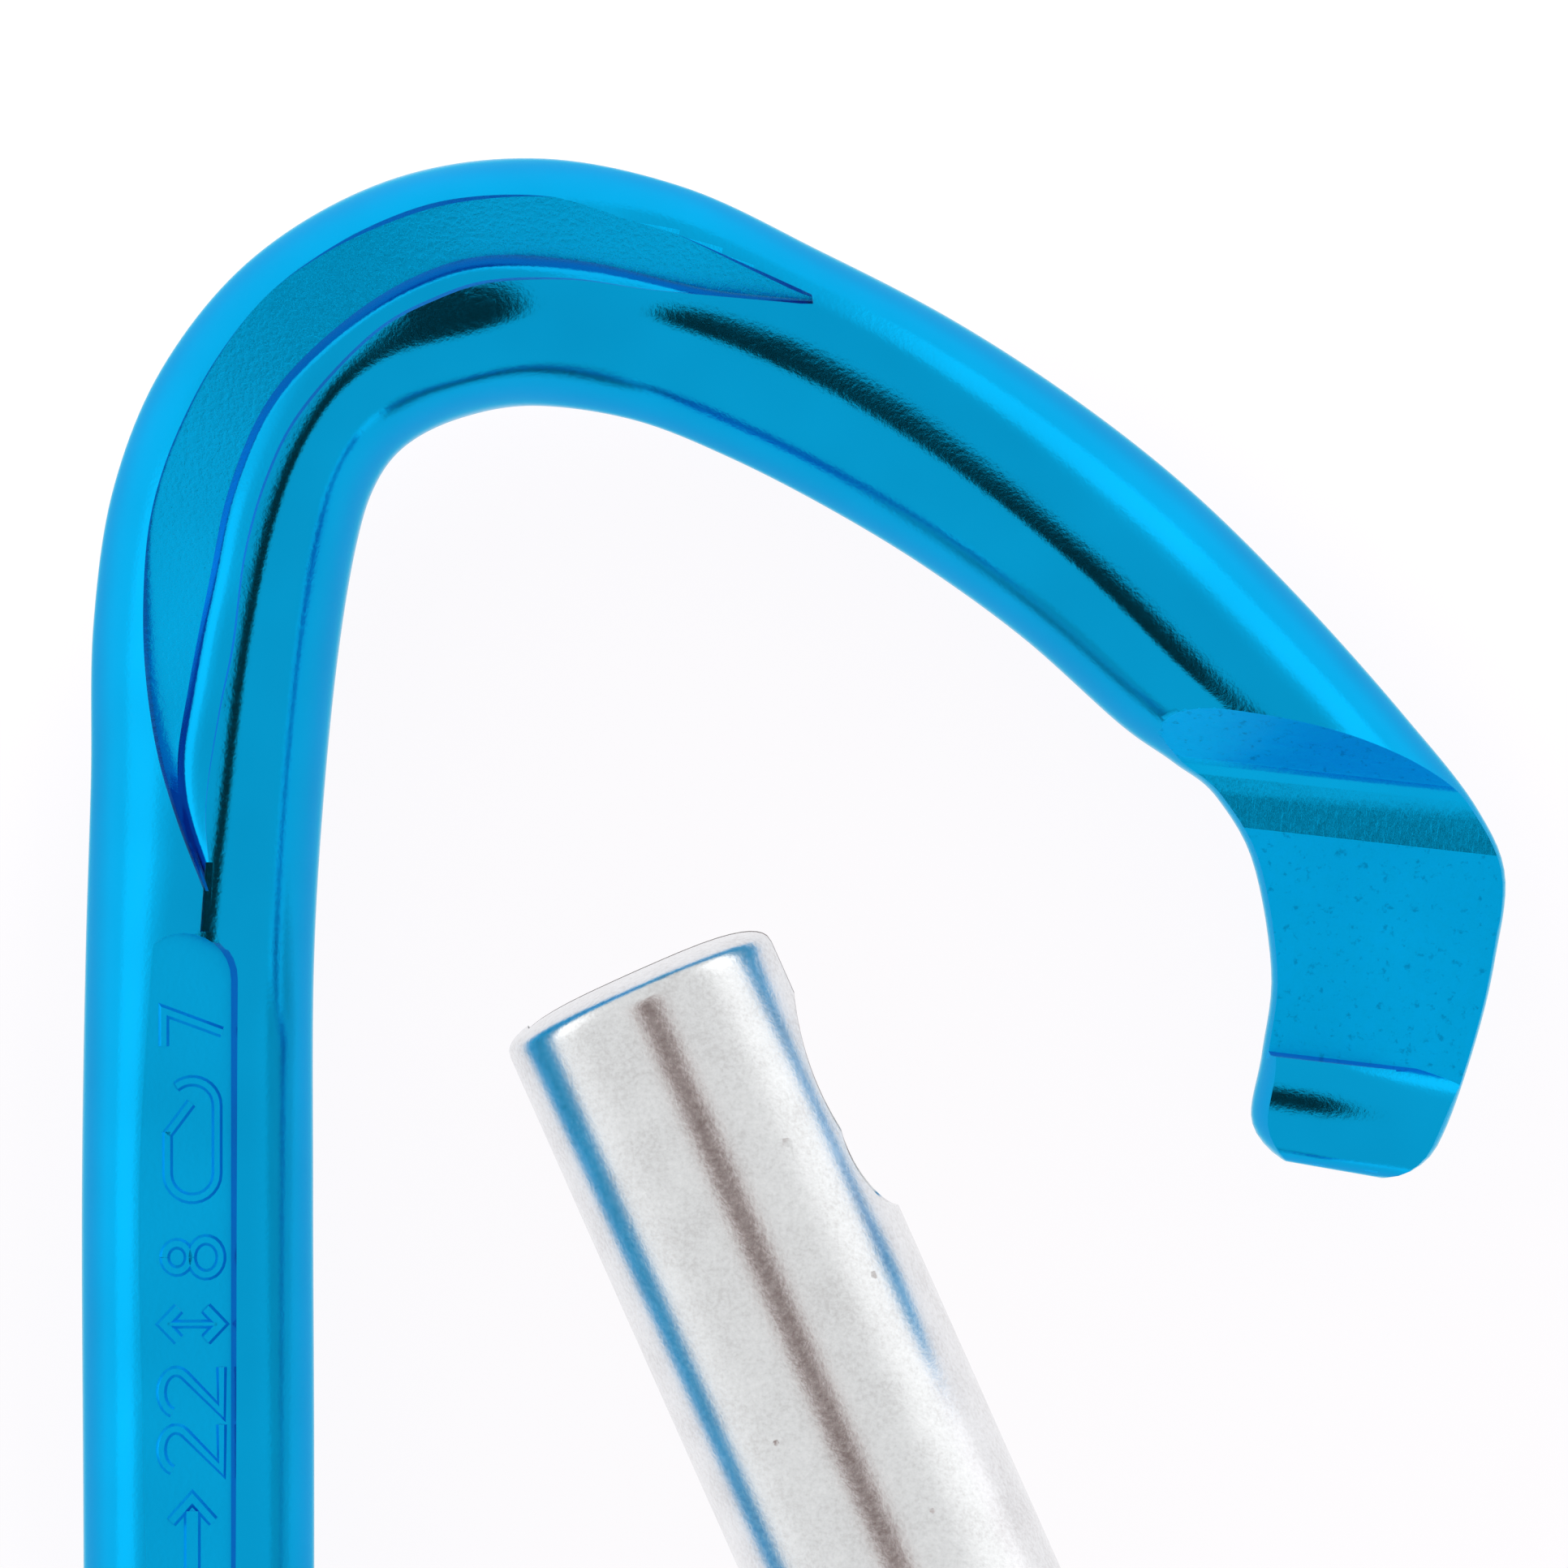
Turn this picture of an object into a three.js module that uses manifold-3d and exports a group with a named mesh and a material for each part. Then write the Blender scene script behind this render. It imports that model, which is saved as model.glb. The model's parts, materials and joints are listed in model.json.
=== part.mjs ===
// Climbing quickdraw: two solid-gate keylock carabiners joined by a sewn tape sling.
// It lies flat: +X towards the gates, +Y towards the bolt-end carabiner, +Z up. Millimetres.
import * as THREE from 'three';
import { mergeVertices } from 'three/addons/utils/BufferGeometryUtils.js';
import Module from 'manifold-3d';

const wasm = await Module();
wasm.setup();

// ---- driving dimensions ----
const ROD_SPAN = 108; // between the two rods that the sling loops hold
const PIVOT = [25.68, 15.07]; // gate rivet, in the carabiner's own plan
const CLOSED_LEAN = THREE.MathUtils.degToRad(10); // the shut gate leans outwards
const OPEN_LEAN = THREE.MathUtils.degToRad(-24.05); // the gate held open leans inwards
const GATE_LENGTH = 47.8; // from the rivet to the tip
const GATE_RADIUS = 5.67;
const GATE_OFFSET = 1.8; // the gate's axis lies this far inside the rivet
const PLUNGER_RADIUS = 1.8;
const PLUNGER_REST = 6.2; // centre of the plunger's round tip above the rivet, gate shut
const PLUNGER_RATIO = 2.5; // plunger travel for one radian of gate swing
const BORE_RADIUS = 2.2;
const BORE_END = 17.2;
const PLUNGER_TOP = 10.2; // flat back of the plunger above the rivet, gate shut
const FORK_ROOT = 7.2;
const FORK_HALF = 2.55;
const TANG_HALF = 2.25;
const TANG_RADIUS = 4.4;
const SHOULDER_RADIUS = 6.1;
const RIVET_RADIUS = 1.6;
const RIVET_HEAD = 2.45;
const WEB_HALF = 1.7; // flat web behind the nose
const NOSE_HALF = 2.9; // cross bar of the keylock nose
const NOSE_ROUND = 39.1; // centre of the nose's round end along the shut gate
const HEAD_DEPTH = 4.3; // slotted head of the gate above its pocket
const POCKET_HALF = 3.5;
const SLOT_HALF = 2.2;
const POCKET_WALL = -5.2; // bottoms of the pocket and of the slot, across the gate
const SLOT_WALL = -6.35;
const RECESS_FLOOR = 3.1; // height of the crescent recess floor above the middle plane
const PANEL_DEPTH = 0.35;
const BEND_DEPTH = 2.8; // how far the rope-end gate bends inwards
const BEND_FROM = 17.4;
const BEND_TO = 35.4;
const TAPE_WIDTH = 11;
const TAPE_THICK = 1.7;
const TAPE_CENTRE = 2.5; // the sling's middle, in the carabiner's own plan
const LOOP_INNER = 5.4;
const LOOP_NECK = 21; // distance from the rod to where the two tapes meet
const BARTACKS = [27.5, 19]; // distances of the stitch blocks from the middle
const BARTACK_SIZE = [9.4, 5.2, 0.45];
const LABEL_SIZE = [10.4, 15, 0.5];
const NECK_LEAD = 2; // the tape's outer face starts to rise this much before the neck
const KEEPER_PLACE = 10; // from the rope-end rod to the rubber keeper
const KEEPER_LENGTH = 4.5;
const KEEPER_THICK = 1.3;
const KEEPER_GAP = 0.25;

// Body outline, from the nose round the top and down the spine to the gate's rivet:
// outer point, inner point, half thickness.
const BODY_STATIONS = [
  [35.3, 50.8, 29.0, 50.9, 5.2],
  [36.1, 53.3, 28.2, 52.7, 5.3],
  [36.9, 56.0, 28.6, 55.3, 5.4],
  [37.6, 59.0, 28.95, 58.3, 5.5],
  [37.97, 62.2, 28.2, 62.7, 5.6],
  [36.9, 64.6, 26.9, 65.0, 5.7],
  [34.0, 68.3, 25.2, 66.4, 5.7],
  [29.8, 73.0, 23.1, 67.9, 5.7],
  [25.6, 77.1, 19.4, 71.2, 5.7],
  [21.25, 80.5, 15.6, 73.96, 5.7],
  [16.6, 83.5, 11.9, 76.2, 5.7],
  [11.6, 86.1, 8.1, 78.15, 5.7],
  [6.25, 88.6, 4.4, 79.6, 5.7],
  [0.6, 89.68, 0.6, 80.15, 5.7],
  [-5.0, 88.84, -2.2, 79.7, 5.7],
  [-10.2, 85.9, -4.4, 78.6, 5.7],
  [-13.7, 81.7, -5.6, 77.0, 5.65],
  [-15.6, 77.1, -6.3, 74.7, 5.6],
  [-16.4, 71.8, -6.95, 70.8, 5.5],
  [-16.5, 65.8, -7.5, 65.5, 5.4],
  [-16.7, 59.0, -7.9, 59.0, 5.3],
  [-16.84, 50.0, -7.94, 50.0, 5.3],
  [-16.8, 40.0, -7.9, 40.0, 5.2],
  [-16.7, 28.0, -7.9, 28.0, 5.0],
  [-16.4, 17.0, -7.85, 18.0, 4.7],
  [-15.3, 8.3, -7.4, 11.5, 4.3],
  [-12.3, 2.0, -6.2, 7.4, 4.0],
  [-7.4, -2.6, -4.0, 4.9, 3.9],
  [-1.8, -4.1, -0.9, 4.2, 3.85],
  [3.4, -4.2, 3.2, 4.15, 3.85],
  [9.2, -3.5, 7.6, 4.6, 3.95],
  [15.6, -0.9, 11.6, 6.6, 4.4],
  [21.6, 3.2, 15.0, 9.3, 4.9],
  [27.3, 8.6, 17.4, 12.8, 5.2],
];

// Crescent recess that makes the top bow an I-beam: outer edge, then inner edge back.
const RECESS_OUTER = [
  [-11.8, 61.7], [-13.75, 66.7], [-14.35, 72.6], [-13.7, 77.6], [-11.6, 82.0],
  [-7.5, 86.0], [-2.5, 87.9], [1.25, 88.2], [6.25, 86.7], [11.25, 84.3],
];
const RECESS_INNER = [
  [11.25, 84.3], [5.0, 84.3], [-1.25, 84.2], [-5.3, 82.6], [-8.9, 79.3],
  [-10.9, 74.5], [-11.7, 68.3], [-11.8, 61.7],
];

const COLOURS = {
  blue: { color: 0x0a93cf, roughness: 0.28, metalness: 0.85 },
  silver: { color: 0xd6dade, roughness: 0.35, metalness: 0.95 },
  steel: { color: 0xa9adb1, roughness: 0.3, metalness: 1.0 },
  tape: { color: 0x23262b, roughness: 0.9, metalness: 0.0 },
  thread: { color: 0x1d9fd6, roughness: 0.85, metalness: 0.0 },
  rubber: { color: 0x16181a, roughness: 0.7, metalness: 0.0 },
  label: { color: 0xe9ecee, roughness: 0.85, metalness: 0.0 },
};

// ---- solids ----
function toManifold(geometry) {
  const bare = geometry.clone();
  for (const name of ['normal', 'uv']) {
    bare.deleteAttribute(name);
  }
  const joined = mergeVertices(bare, 1e-4);
  return new wasm.Manifold(new wasm.Mesh({
    numProp: 3,
    vertProperties: new Float32Array(joined.attributes.position.array),
    triVerts: new Uint32Array(joined.index.array),
  }));
}

function toGeometry(manifold) {
  const mesh = manifold.getMesh();
  const geometry = new THREE.BufferGeometry();
  geometry.setAttribute('position', new THREE.Float32BufferAttribute(mesh.vertProperties, 3));
  geometry.setIndex(Array.from(mesh.triVerts));
  geometry.computeVertexNormals();
  return geometry;
}

function subtractAll(base, cutters) {
  return cutters.reduce((solid, cutter) => solid.subtract(toManifold(cutter)), base);
}

function box(x0, x1, y0, y1, z0, z1) {
  const geometry = new THREE.BoxGeometry(x1 - x0, y1 - y0, z1 - z0);
  return geometry.translate((x0 + x1) / 2, (y0 + y1) / 2, (z0 + z1) / 2);
}

function prism(points, z0, z1) {
  const shape = new THREE.Shape(points.map((p) => new THREE.Vector2(p[0], p[1])));
  const geometry = new THREE.ExtrudeGeometry(shape, { depth: z1 - z0, bevelEnabled: false });
  return geometry.translate(0, 0, z0);
}

function discAt(x, y, radius, z0, z1, sides = 28) {
  const geometry = new THREE.CylinderGeometry(radius, radius, z1 - z0, sides);
  return geometry.rotateX(Math.PI / 2).translate(x, y, (z0 + z1) / 2);
}

function alongGate(radius, y0, y1, sides = 20) {
  const geometry = new THREE.CylinderGeometry(radius, radius, y1 - y0, sides);
  return geometry.translate(-GATE_OFFSET, (y0 + y1) / 2, 0);
}

function smoothLine(points, count) {
  const curve = new THREE.CatmullRomCurve3(points.map((p) => new THREE.Vector3(p[0], p[1], 0)));
  return curve.getPoints(count).map((p) => [p.x, p.y]);
}

// Places a solid made in the gate's own frame (rivet at the origin, axis along +Y).
function inCarabiner(geometry, lean) {
  return geometry.clone().rotateZ(-lean).translate(PIVOT[0], PIVOT[1], 0);
}

// Mirrors a solid through the middle plane, keeping its faces outwards.
function mirrorFlip(geometry) {
  const flipped = geometry.index ? geometry.toNonIndexed() : geometry.clone();
  const p = flipped.attributes.position;
  for (let i = 0; i < p.count; i += 3) {
    const second = [p.getX(i + 1), p.getY(i + 1), p.getZ(i + 1)];
    p.setXYZ(i + 1, p.getX(i + 2), p.getY(i + 2), p.getZ(i + 2));
    p.setXYZ(i + 2, ...second);
  }
  for (let i = 0; i < p.count; i += 1) {
    p.setZ(i, -p.getZ(i));
  }
  return flipped;
}

function cutBothFaces(solid, cutters) {
  const mirrored = cutters.map(mirrorFlip);
  return subtractAll(subtractAll(solid, cutters), mirrored);
}

// ---- carabiner body ----
const BODY_ROWS = 66;
const BODY_SIDES = 22;

function bodySection(station) {
  const [outerX, outerY, innerX, innerY, half] = station;
  const middle = [(outerX + innerX) / 2, (outerY + innerY) / 2];
  const reach = [(outerX - innerX) / 2, (outerY - innerY) / 2];
  const ring = [];
  for (let i = 0; i < BODY_SIDES; i += 1) {
    const a = (-2 * Math.PI * i) / BODY_SIDES;
    const across = Math.sign(Math.cos(a)) * Math.abs(Math.cos(a)) ** 0.78;
    const up = Math.sign(Math.sin(a)) * Math.abs(Math.sin(a)) ** 0.78;
    ring.push([middle[0] + reach[0] * across, middle[1] + reach[1] * across, half * up]);
  }
  return ring;
}

function smoothStations() {
  const track = (a, b) => new THREE.CatmullRomCurve3(
    BODY_STATIONS.map((s) => new THREE.Vector3(s[a], s[b], s[4])),
  );
  const outer = track(0, 1);
  const inner = track(2, 3);
  const stations = [];
  for (let i = 0; i <= BODY_ROWS; i += 1) {
    const o = outer.getPoint(i / BODY_ROWS);
    const n = inner.getPoint(i / BODY_ROWS);
    stations.push([o.x, o.y, n.x, n.y, o.z]);
  }
  return stations;
}

function loft(rings) {
  const sides = rings[0].length;
  const positions = rings.flat(2);
  const index = [];
  for (let r = 0; r + 1 < rings.length; r += 1) {
    for (let i = 0; i < sides; i += 1) {
      const a = r * sides + i;
      const b = r * sides + ((i + 1) % sides);
      index.push(a, b, a + sides, b, b + sides, a + sides);
    }
  }
  const last = (rings.length - 1) * sides;
  for (let i = 1; i + 1 < sides; i += 1) {
    index.push(0, i + 1, i, last, last + i, last + i + 1);
  }
  const geometry = new THREE.BufferGeometry();
  geometry.setAttribute('position', new THREE.Float32BufferAttribute(positions, 3));
  geometry.setIndex(index);
  return geometry;
}

// The recess, the marking panel, the ramp down to the flat web, and its far wall.
function bodyCutters() {
  const crescent = [...smoothLine(RECESS_OUTER, 26), ...smoothLine(RECESS_INNER, 22)];
  const outline = crescent.filter((p, i) => {
    const q = crescent[(i + 1) % crescent.length];
    return Math.hypot(p[0] - q[0], p[1] - q[1]) > 0.05;
  });
  const panel = [[-14.2, 22], [-11, 22], [-11, 59.2], [-11.6, 59.9], [-13.5, 59.9], [-14.2, 59]];
  return [
    prism(outline, RECESS_FLOOR, 9),
    prism(panel, 5.25 - PANEL_DEPTH, 9),
    webCutter(),
  ];
}

function webCutter() {
  const rise = 8 - WEB_HALF;
  const low = [[24.6, 64.35], [24.6, 55.8], [39.6, 54.0], [39.6, 62.6]];
  const high = [[24.6, 64.35 + rise], [24.6, 55.8], [39.6, 54.0], [39.6, 62.6 + rise]];
  const rings = [low.map((p) => [...p, WEB_HALF]), high.map((p) => [...p, 8])];
  return loft(rings);
}

// Everything of the nose below the web is kept only inside the round-ended cross bar.
function noseTrim() {
  const outline = [[24.6, 56.2], [24.6, 46], [39.6, 46], [39.6, 54.4]];
  const keep = toManifold(inCarabiner(
    new THREE.CylinderGeometry(NOSE_HALF, NOSE_HALF, 30, 28).rotateZ(Math.PI / 2)
      .translate(0, NOSE_ROUND, 0),
    CLOSED_LEAN,
  )).add(toManifold(inCarabiner(
    box(-15, 15, NOSE_ROUND, NOSE_ROUND + 9, -NOSE_HALF, NOSE_HALF),
    CLOSED_LEAN,
  )));
  return toManifold(prism(outline, -9, 9)).subtract(keep);
}

// Cam edge of the tang: it stays just clear of the plunger's tip through the whole swing.
function camEdge() {
  const tip = (swing) => {
    const y = PLUNGER_REST + PLUNGER_RATIO * swing;
    return [
      -GATE_OFFSET * Math.cos(swing) - y * Math.sin(swing),
      -GATE_OFFSET * Math.sin(swing) + y * Math.cos(swing),
    ];
  };
  const edge = [];
  for (let degrees = -6; degrees <= 44; degrees += 5) {
    const swing = THREE.MathUtils.degToRad(degrees);
    const here = tip(swing);
    const next = tip(swing + 0.01);
    const step = Math.hypot(next[0] - here[0], next[1] - here[1]);
    const normal = [(next[1] - here[1]) / step, -(next[0] - here[0]) / step];
    const reach = PLUNGER_RADIUS + 0.14;
    edge.push([here[0] - normal[0] * reach, here[1] - normal[1] * reach]);
  }
  return edge;
}

function tangOutline() {
  const turned = camEdge().map(([x, y]) => [
    PIVOT[0] + x * Math.cos(-CLOSED_LEAN) - y * Math.sin(-CLOSED_LEAN),
    PIVOT[1] + x * Math.sin(-CLOSED_LEAN) + y * Math.cos(-CLOSED_LEAN),
  ]);
  const polar = (degrees, radius) => {
    const a = THREE.MathUtils.degToRad(degrees);
    return [PIVOT[0] + radius * Math.cos(a), PIVOT[1] + radius * Math.sin(a)];
  };
  const back = [[165, 6.9], [186, 8.1], [200, 9.6], [235, 9.2], [275, 8.8], [300, 7.6], [318, 5.8]];
  const front = [];
  for (let degrees = 335; degrees <= 435; degrees += 12.5) {
    front.push(polar(degrees, TANG_RADIUS));
  }
  return [...turned, ...back.map((p) => polar(...p)), ...front];
}

function carabinerBody() {
  let solid = toManifold(loft(smoothStations().map(bodySection)));
  solid = cutBothFaces(solid, bodyCutters());
  solid = solid.subtract(noseTrim());
  solid = solid.subtract(toManifold(discAt(...PIVOT, SHOULDER_RADIUS, -9, 9, 40)));
  const tang = toManifold(prism(tangOutline(), -TANG_HALF, TANG_HALF));
  solid = solid.add(tang);
  solid = solid.subtract(toManifold(discAt(...PIVOT, RIVET_RADIUS + 0.12, -9, 9, 24)));
  return toGeometry(solid);
}

// ---- gate and the small parts inside it ----
function gateBarrel() {
  const tip = GATE_LENGTH;
  const profile = [
    [0, -6.4], [GATE_RADIUS, -6.4], [GATE_RADIUS, 6], [GATE_RADIUS, BEND_FROM],
  ];
  for (let i = 1; i <= 9; i += 1) {
    profile.push([GATE_RADIUS, BEND_FROM + ((BEND_TO - BEND_FROM) * i) / 9]);
  }
  profile.push([GATE_RADIUS, tip - 4], [GATE_RADIUS - 0.12, tip - 2.2], [GATE_RADIUS - 0.4, tip - 1.1]);
  profile.push([GATE_RADIUS - 1.0, tip - 0.45], [GATE_RADIUS - 2.2, tip - 0.08], [0, tip]);
  const points = profile.map(([r, y]) => new THREE.Vector2(r, y));
  return new THREE.LatheGeometry(points, 40).translate(-GATE_OFFSET, 0, 0);
}

// Side outline of the gate: its heel is round about the rivet so that it clears the body.
function gateHeel() {
  const outline = [[9, -3.9]];
  for (let degrees = -44; degrees >= -180; degrees -= 8) {
    const a = THREE.MathUtils.degToRad(degrees);
    outline.push([5.6 * Math.cos(a), 5.6 * Math.sin(a)]);
  }
  outline.push([-5.6, 0.1], [-7.7, 2.6], [-9, 2.6], [-9, 60], [9, 60]);
  return prism(outline.reverse(), -9, 9);
}

function gate(bent) {
  const tip = GATE_LENGTH;
  const pocketEnd = new THREE.CylinderGeometry(POCKET_HALF, POCKET_HALF, 9 - POCKET_WALL, 28)
    .rotateZ(Math.PI / 2).translate((9 + POCKET_WALL) / 2, NOSE_ROUND, 0);
  const counterbore = discAt(0, 0, RIVET_HEAD + 0.25, 4.6, 9, 24);
  let solid = toManifold(gateBarrel()).intersect(toManifold(gateHeel()));
  solid = subtractAll(solid, [
    box(SLOT_WALL, 9, tip - HEAD_DEPTH - 0.5, tip + 2, -SLOT_HALF, SLOT_HALF),
    box(POCKET_WALL, 9, NOSE_ROUND, tip - HEAD_DEPTH, -POCKET_HALF, POCKET_HALF),
    pocketEnd,
    box(-12, 12, -9, FORK_ROOT, -FORK_HALF, FORK_HALF),
    alongGate(BORE_RADIUS, FORK_ROOT - 0.5, BORE_END, 24),
    discAt(0, 0, RIVET_RADIUS + 0.06, -9, 9, 24),
    counterbore,
    mirrorFlip(counterbore),
  ]);
  return bent ? bendGate(toGeometry(solid)) : toGeometry(solid);
}

function bendGate(geometry) {
  const p = geometry.attributes.position;
  for (let i = 0; i < p.count; i += 1) {
    const along = THREE.MathUtils.clamp((p.getY(i) - BEND_FROM) / (BEND_TO - BEND_FROM), 0, 1);
    p.setX(i, p.getX(i) - BEND_DEPTH * Math.sin(Math.PI * along) ** 2);
  }
  return geometry;
}

function rivet() {
  const profile = [
    [0, -5.35], [RIVET_HEAD - 0.5, -5.3], [RIVET_HEAD, -5.0], [RIVET_HEAD, -4.66],
    [RIVET_RADIUS, -4.66], [RIVET_RADIUS, 4.66], [RIVET_HEAD, 4.66], [RIVET_HEAD, 5.0],
    [RIVET_HEAD - 0.5, 5.3], [0, 5.35],
  ];
  const points = profile.map(([r, y]) => new THREE.Vector2(r, y));
  return new THREE.LatheGeometry(points, 24).rotateX(Math.PI / 2);
}

function plunger(swing) {
  const lift = PLUNGER_RATIO * swing;
  const points = [new THREE.Vector2(0, PLUNGER_REST - PLUNGER_RADIUS + lift)];
  for (let degrees = -70; degrees <= 0; degrees += 14) {
    const a = THREE.MathUtils.degToRad(degrees);
    points.push(new THREE.Vector2(
      PLUNGER_RADIUS * Math.cos(a),
      PLUNGER_REST + lift + PLUNGER_RADIUS * Math.sin(a),
    ));
  }
  points.push(new THREE.Vector2(PLUNGER_RADIUS, PLUNGER_TOP + lift));
  points.push(new THREE.Vector2(0, PLUNGER_TOP + lift));
  return new THREE.LatheGeometry(points, 20).translate(-GATE_OFFSET, 0, 0);
}

class Helix extends THREE.Curve {
  constructor(radius, start, length, turns) {
    super();
    Object.assign(this, { radius, start, length, turns });
  }

  getPoint(t) {
    const a = 2 * Math.PI * this.turns * t;
    return new THREE.Vector3(
      this.radius * Math.cos(a) - GATE_OFFSET,
      this.start + this.length * t,
      this.radius * Math.sin(a),
    );
  }
}

function spring(swing) {
  const wire = 0.28;
  const low = PLUNGER_TOP + PLUNGER_RATIO * swing + wire + 0.1;
  const high = BORE_END - wire - 0.1;
  const section = new THREE.Shape();
  section.absellipse(0, 0, wire, wire, 0, 2 * Math.PI);
  const path = new Helix(1.6, low, high - low, 5);
  return new THREE.ExtrudeGeometry(section, { steps: 60, curveSegments: 3, extrudePath: path });
}

// ---- sling ----
function smoothStep(t) {
  return t * t * (3 - 2 * t);
}

// One quarter of a loop's side view as [y, z] points: from where it leaves the middle
// plane's tape at height low, rising to reach above the rod, then round to the far end.
function loopQuarter(start, low, reach, steps) {
  const rod = ROD_SPAN / 2;
  const points = [];
  for (let i = 0; i <= steps; i += 1) {
    const t = i / steps;
    points.push([start + (rod - start) * t, low + (reach - low) * smoothStep(t)]);
  }
  for (let degrees = 75; degrees >= 0; degrees -= 15) {
    const a = THREE.MathUtils.degToRad(degrees);
    points.push([rod + reach * Math.cos(a), reach * Math.sin(a)]);
  }
  return points;
}

function mirrored(points, flipY, flipZ) {
  const copy = points.map(([y, z]) => [flipY ? -y : y, flipZ ? -z : z]);
  return flipY !== flipZ ? copy.reverse() : copy;
}

function alongX(points, holes, width, centre) {
  const shape = new THREE.Shape(points.map((p) => new THREE.Vector2(p[0], p[1])));
  for (const hole of holes) {
    shape.holes.push(new THREE.Path(hole.map((p) => new THREE.Vector2(p[0], p[1]))));
  }
  const geometry = new THREE.ExtrudeGeometry(shape, { depth: width, bevelEnabled: false });
  geometry.applyMatrix4(new THREE.Matrix4().makeBasis(
    new THREE.Vector3(0, 1, 0),
    new THREE.Vector3(0, 0, 1),
    new THREE.Vector3(1, 0, 0),
  ));
  return geometry.translate(centre - width / 2, 0, 0);
}

function sling() {
  const neck = ROD_SPAN / 2 - LOOP_NECK;
  const top = loopQuarter(neck - NECK_LEAD, TAPE_THICK, LOOP_INNER + TAPE_THICK, 9);
  const edge = [
    ...top,
    ...mirrored(top, false, true).slice(1),
    ...mirrored(top, true, true),
    ...mirrored(top, true, false).slice(1),
  ];
  const upper = loopQuarter(neck, 0, LOOP_INNER, 8);
  const ring = [...upper, ...mirrored(upper, false, true).slice(1, -1)];
  const holes = [ring, mirrored(ring, true, false)];
  return alongX(edge.reverse(), holes, TAPE_WIDTH, TAPE_CENTRE);
}

// Thin pad sewn on a flat of the tape.
function pad(size, y, above) {
  const [width, length, thick] = size;
  const gap = 0.02;
  const base = TAPE_THICK + gap;
  const z = above ? [base, base + thick] : [-base - thick, -base];
  return box(
    TAPE_CENTRE - width / 2, TAPE_CENTRE + width / 2, y - length / 2, y + length / 2, ...z,
  );
}

// Rubber band round both tapes beside the rope-end rod.
function keeper() {
  const near = -ROD_SPAN / 2 + KEEPER_PLACE;
  const far = near + KEEPER_LENGTH;
  const share = 1 - KEEPER_PLACE / (LOOP_NECK + NECK_LEAD);
  const insideX = TAPE_WIDTH / 2 + KEEPER_GAP;
  const insideZ = TAPE_THICK + LOOP_INNER * smoothStep(share) + KEEPER_GAP;
  const outsideX = insideX + KEEPER_THICK;
  const outsideZ = insideZ + KEEPER_THICK;
  const block = box(TAPE_CENTRE - outsideX, TAPE_CENTRE + outsideX, near, far, -outsideZ, outsideZ);
  const hole = box(
    TAPE_CENTRE - insideX, TAPE_CENTRE + insideX, near - 1, far + 1, -insideZ, insideZ,
  );
  return toGeometry(toManifold(block).subtract(toManifold(hole)));
}

// ---- assembly ----
function piece(name, geometry, look) {
  const mesh = new THREE.Mesh(geometry, new THREE.MeshStandardMaterial(COLOURS[look]));
  mesh.name = name;
  return mesh;
}

function carabiner(end, lean, bent) {
  const group = new THREE.Group();
  const swing = CLOSED_LEAN - lean;
  const gateGroup = new THREE.Group();
  gateGroup.position.set(PIVOT[0], PIVOT[1], 0);
  gateGroup.rotation.z = -lean;
  gateGroup.add(
    piece(`${end}_gate`, gate(bent), 'silver'),
    piece(`${end}_gate_rivet`, rivet(), 'steel'),
    piece(`${end}_plunger`, plunger(swing), 'steel'),
    piece(`${end}_gate_spring`, spring(swing), 'steel'),
  );
  group.add(piece(`${end}_carabiner_body`, carabinerBody(), 'blue'), gateGroup);
  return group;
}

function dogbone() {
  const group = new THREE.Group();
  group.add(piece('sling_webbing', sling(), 'tape'));
  for (const side of [1, -1]) {
    BARTACKS.forEach((distance, i) => {
      const end = side > 0 ? 'bolt' : 'rope';
      const place = side * distance;
      group.add(piece(`bartack_${end}_${i + 1}_top`, pad(BARTACK_SIZE, place, true), 'thread'));
      group.add(piece(`bartack_${end}_${i + 1}_under`, pad(BARTACK_SIZE, place, false), 'thread'));
    });
  }
  group.add(piece('sewn_label', pad(LABEL_SIZE, 0, true), 'label'));
  group.add(piece('rubber_keeper', keeper(), 'rubber'));
  return group;
}

function quickdraw() {
  const group = new THREE.Group();
  const bolt = carabiner('bolt', OPEN_LEAN, false);
  bolt.position.y = ROD_SPAN / 2;
  const rope = carabiner('rope', CLOSED_LEAN, true);
  rope.rotation.x = Math.PI;
  rope.position.y = -ROD_SPAN / 2;
  group.add(bolt, rope, dogbone());
  group.updateMatrixWorld(true);
  const bounds = new THREE.Box3().setFromObject(group, true);
  const centre = bounds.getCenter(new THREE.Vector3());
  group.position.set(-centre.x, -centre.y, -bounds.min.z);
  group.updateMatrixWorld(true);
  return group;
}

const part = quickdraw();
part.name = 'quickdraw';
export default part;
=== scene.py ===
"""Looks of the climbing quickdraw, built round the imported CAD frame.

The bolt-end carabiner is seen from straight above, close to its nose, with its gate open.
Shapes are worked out in each carabiner's own plan, in millimetres: x towards the gate, y from the
rod in the sling towards the top bow, z up from the middle plane. They are then placed by the joints.
"""

import json
import math

import bmesh
import bpy
import numpy as np
from mathutils import Matrix, Vector

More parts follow.
